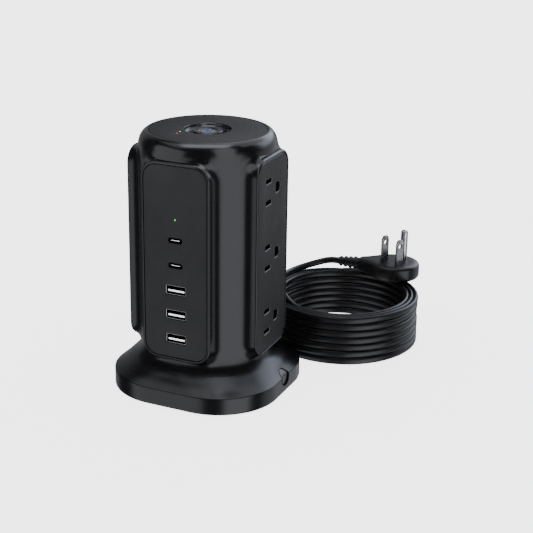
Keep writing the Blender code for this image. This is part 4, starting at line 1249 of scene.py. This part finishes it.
def make_reset_button(height, outer):
    """The reset button: a round stem and cap whose face follows the base's slope, just below it."""
    low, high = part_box("reset_button")
    stem, radius, sunk = 1.8 * MM, 4.85 * MM, BASE_HALF - high.x
    back = high.x - 5.8 * MM
    loops = []
    for reach, x in ((stem, low.x), (stem, back), (radius - 0.2 * MM, back), (radius, back + 0.2 * MM)):
        loops.append([(x, y, height + z) for z, y in circle_outline(reach, WELL_STEPS)])
    for share, drop in ((1.0, 0.5), (0.985, 0.25), (0.95, 0.08), (0.9, 0.0), (0.75, 0.0), (0.6, 0.0),
                        (0.45, 0.0), (0.3, 0.0), (0.15, 0.0)):
        ring = []
        for rise, y in circle_outline(radius * share, WELL_STEPS):
            z = height + rise
            ring.append((min(slope_reach(z, outer) - sunk * 0.5, high.x) - drop * MM, y, z))
        loops.append(ring)
    piece_of("reset_button_cap", capped(loops), "button_gloss", "reset_button", "reset_button", sharp=50.0)


def make_underside():
    """The rubber feet with a moulded groove, and screws with a cross recess."""
    for number in range(1, 5):
        low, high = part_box(f"foot_{number}")
        x, y, _ = middle_of(f"foot_{number}")
        radius = (high.x - low.x) / 2
        corners = in_mm((0.0, 0.25, 0.0), (2.4, 0.25, 0.2), (2.7, 0.0, 0.2))
        corners += [(radius, 0.0, 0.5 * MM), (radius, high.z, 0.2 * MM), (0.0, high.z, 0.0)]
        piece_of(f"foot_pad_{number}", lathed(eased(corners, 4), 48), "foot_rubber", f"foot_{number}",
                 axes=Matrix.Translation((x, y, 0.0)))
        low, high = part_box(f"base_screw_{number}")
        x, y, _ = middle_of(f"base_screw_{number}")
        radius, tall = (high.x - low.x) / 2, high.z - low.z
        corners = [(0.0, 0.0, 0.0), (radius * 0.8, 0.0, 0.4 * MM), (radius, 0.5 * MM, 0.3 * MM),
                   (radius, 1.3 * MM, 0.2 * MM), *in_mm((1.4, 1.4, 0.2), (1.4, 6.0, 0.2)),
                   (0.3 * MM, tall, 0.1 * MM), (0.0, tall, 0.0)]
        axes = Matrix.Translation((x, y, low.z))
        screw = piece_of(f"screw_{number}", lathed(eased(corners, 4), 40), "screw_steel",
                         f"base_screw_{number}", axes=axes)
        arms = []
        for turn in range(2):
            arm = prism(rounded_outline(1.7 * MM, 0.35 * MM, 0.1 * MM, 2), -1.0 * MM, 0.9 * MM)
            spin = Matrix.Rotation(pi / 2 * turn + 0.4 * number, 4, "Z")
            arms.append(cutter_of(f"arm_{number}_{turn}", arm, axes @ spin))
        cut_away(screw, arms)


# --- carried nodes


def dress_nodes():
    """Better materials for the CAD nodes that stay: the trays, bars, boards and other inner pieces."""
    looks = {"contact_tray": "grey_plastic", "bus": "contact_brass", "usb_board": "board_green",
             "surge_board": "board_green", "varistor": "varistor_blue", "breaker_body": "grey_plastic",
             "power_switch": "grey_plastic", "base_plate": "base_matte"}
    for name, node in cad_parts.items():
        for start, look in looks.items():
            if name.startswith(start):
                for slot in node.material_slots:
                    slot.material = LOOKS[look]


make_camera()
make_cord([make_strain_relief(), *make_plug()])
make_tower()
for side_number, side_name in enumerate(SIDES):
    if side_name != "front":
        make_outlet_plate(side_name, side_number)
make_usb_plate()
for socket in usb_sockets():
    make_usb_socket(*socket)
make_top()
make_power_button()
make_base()
make_underside()
dress_nodes()
make_floor()
make_studio()
make_cards()
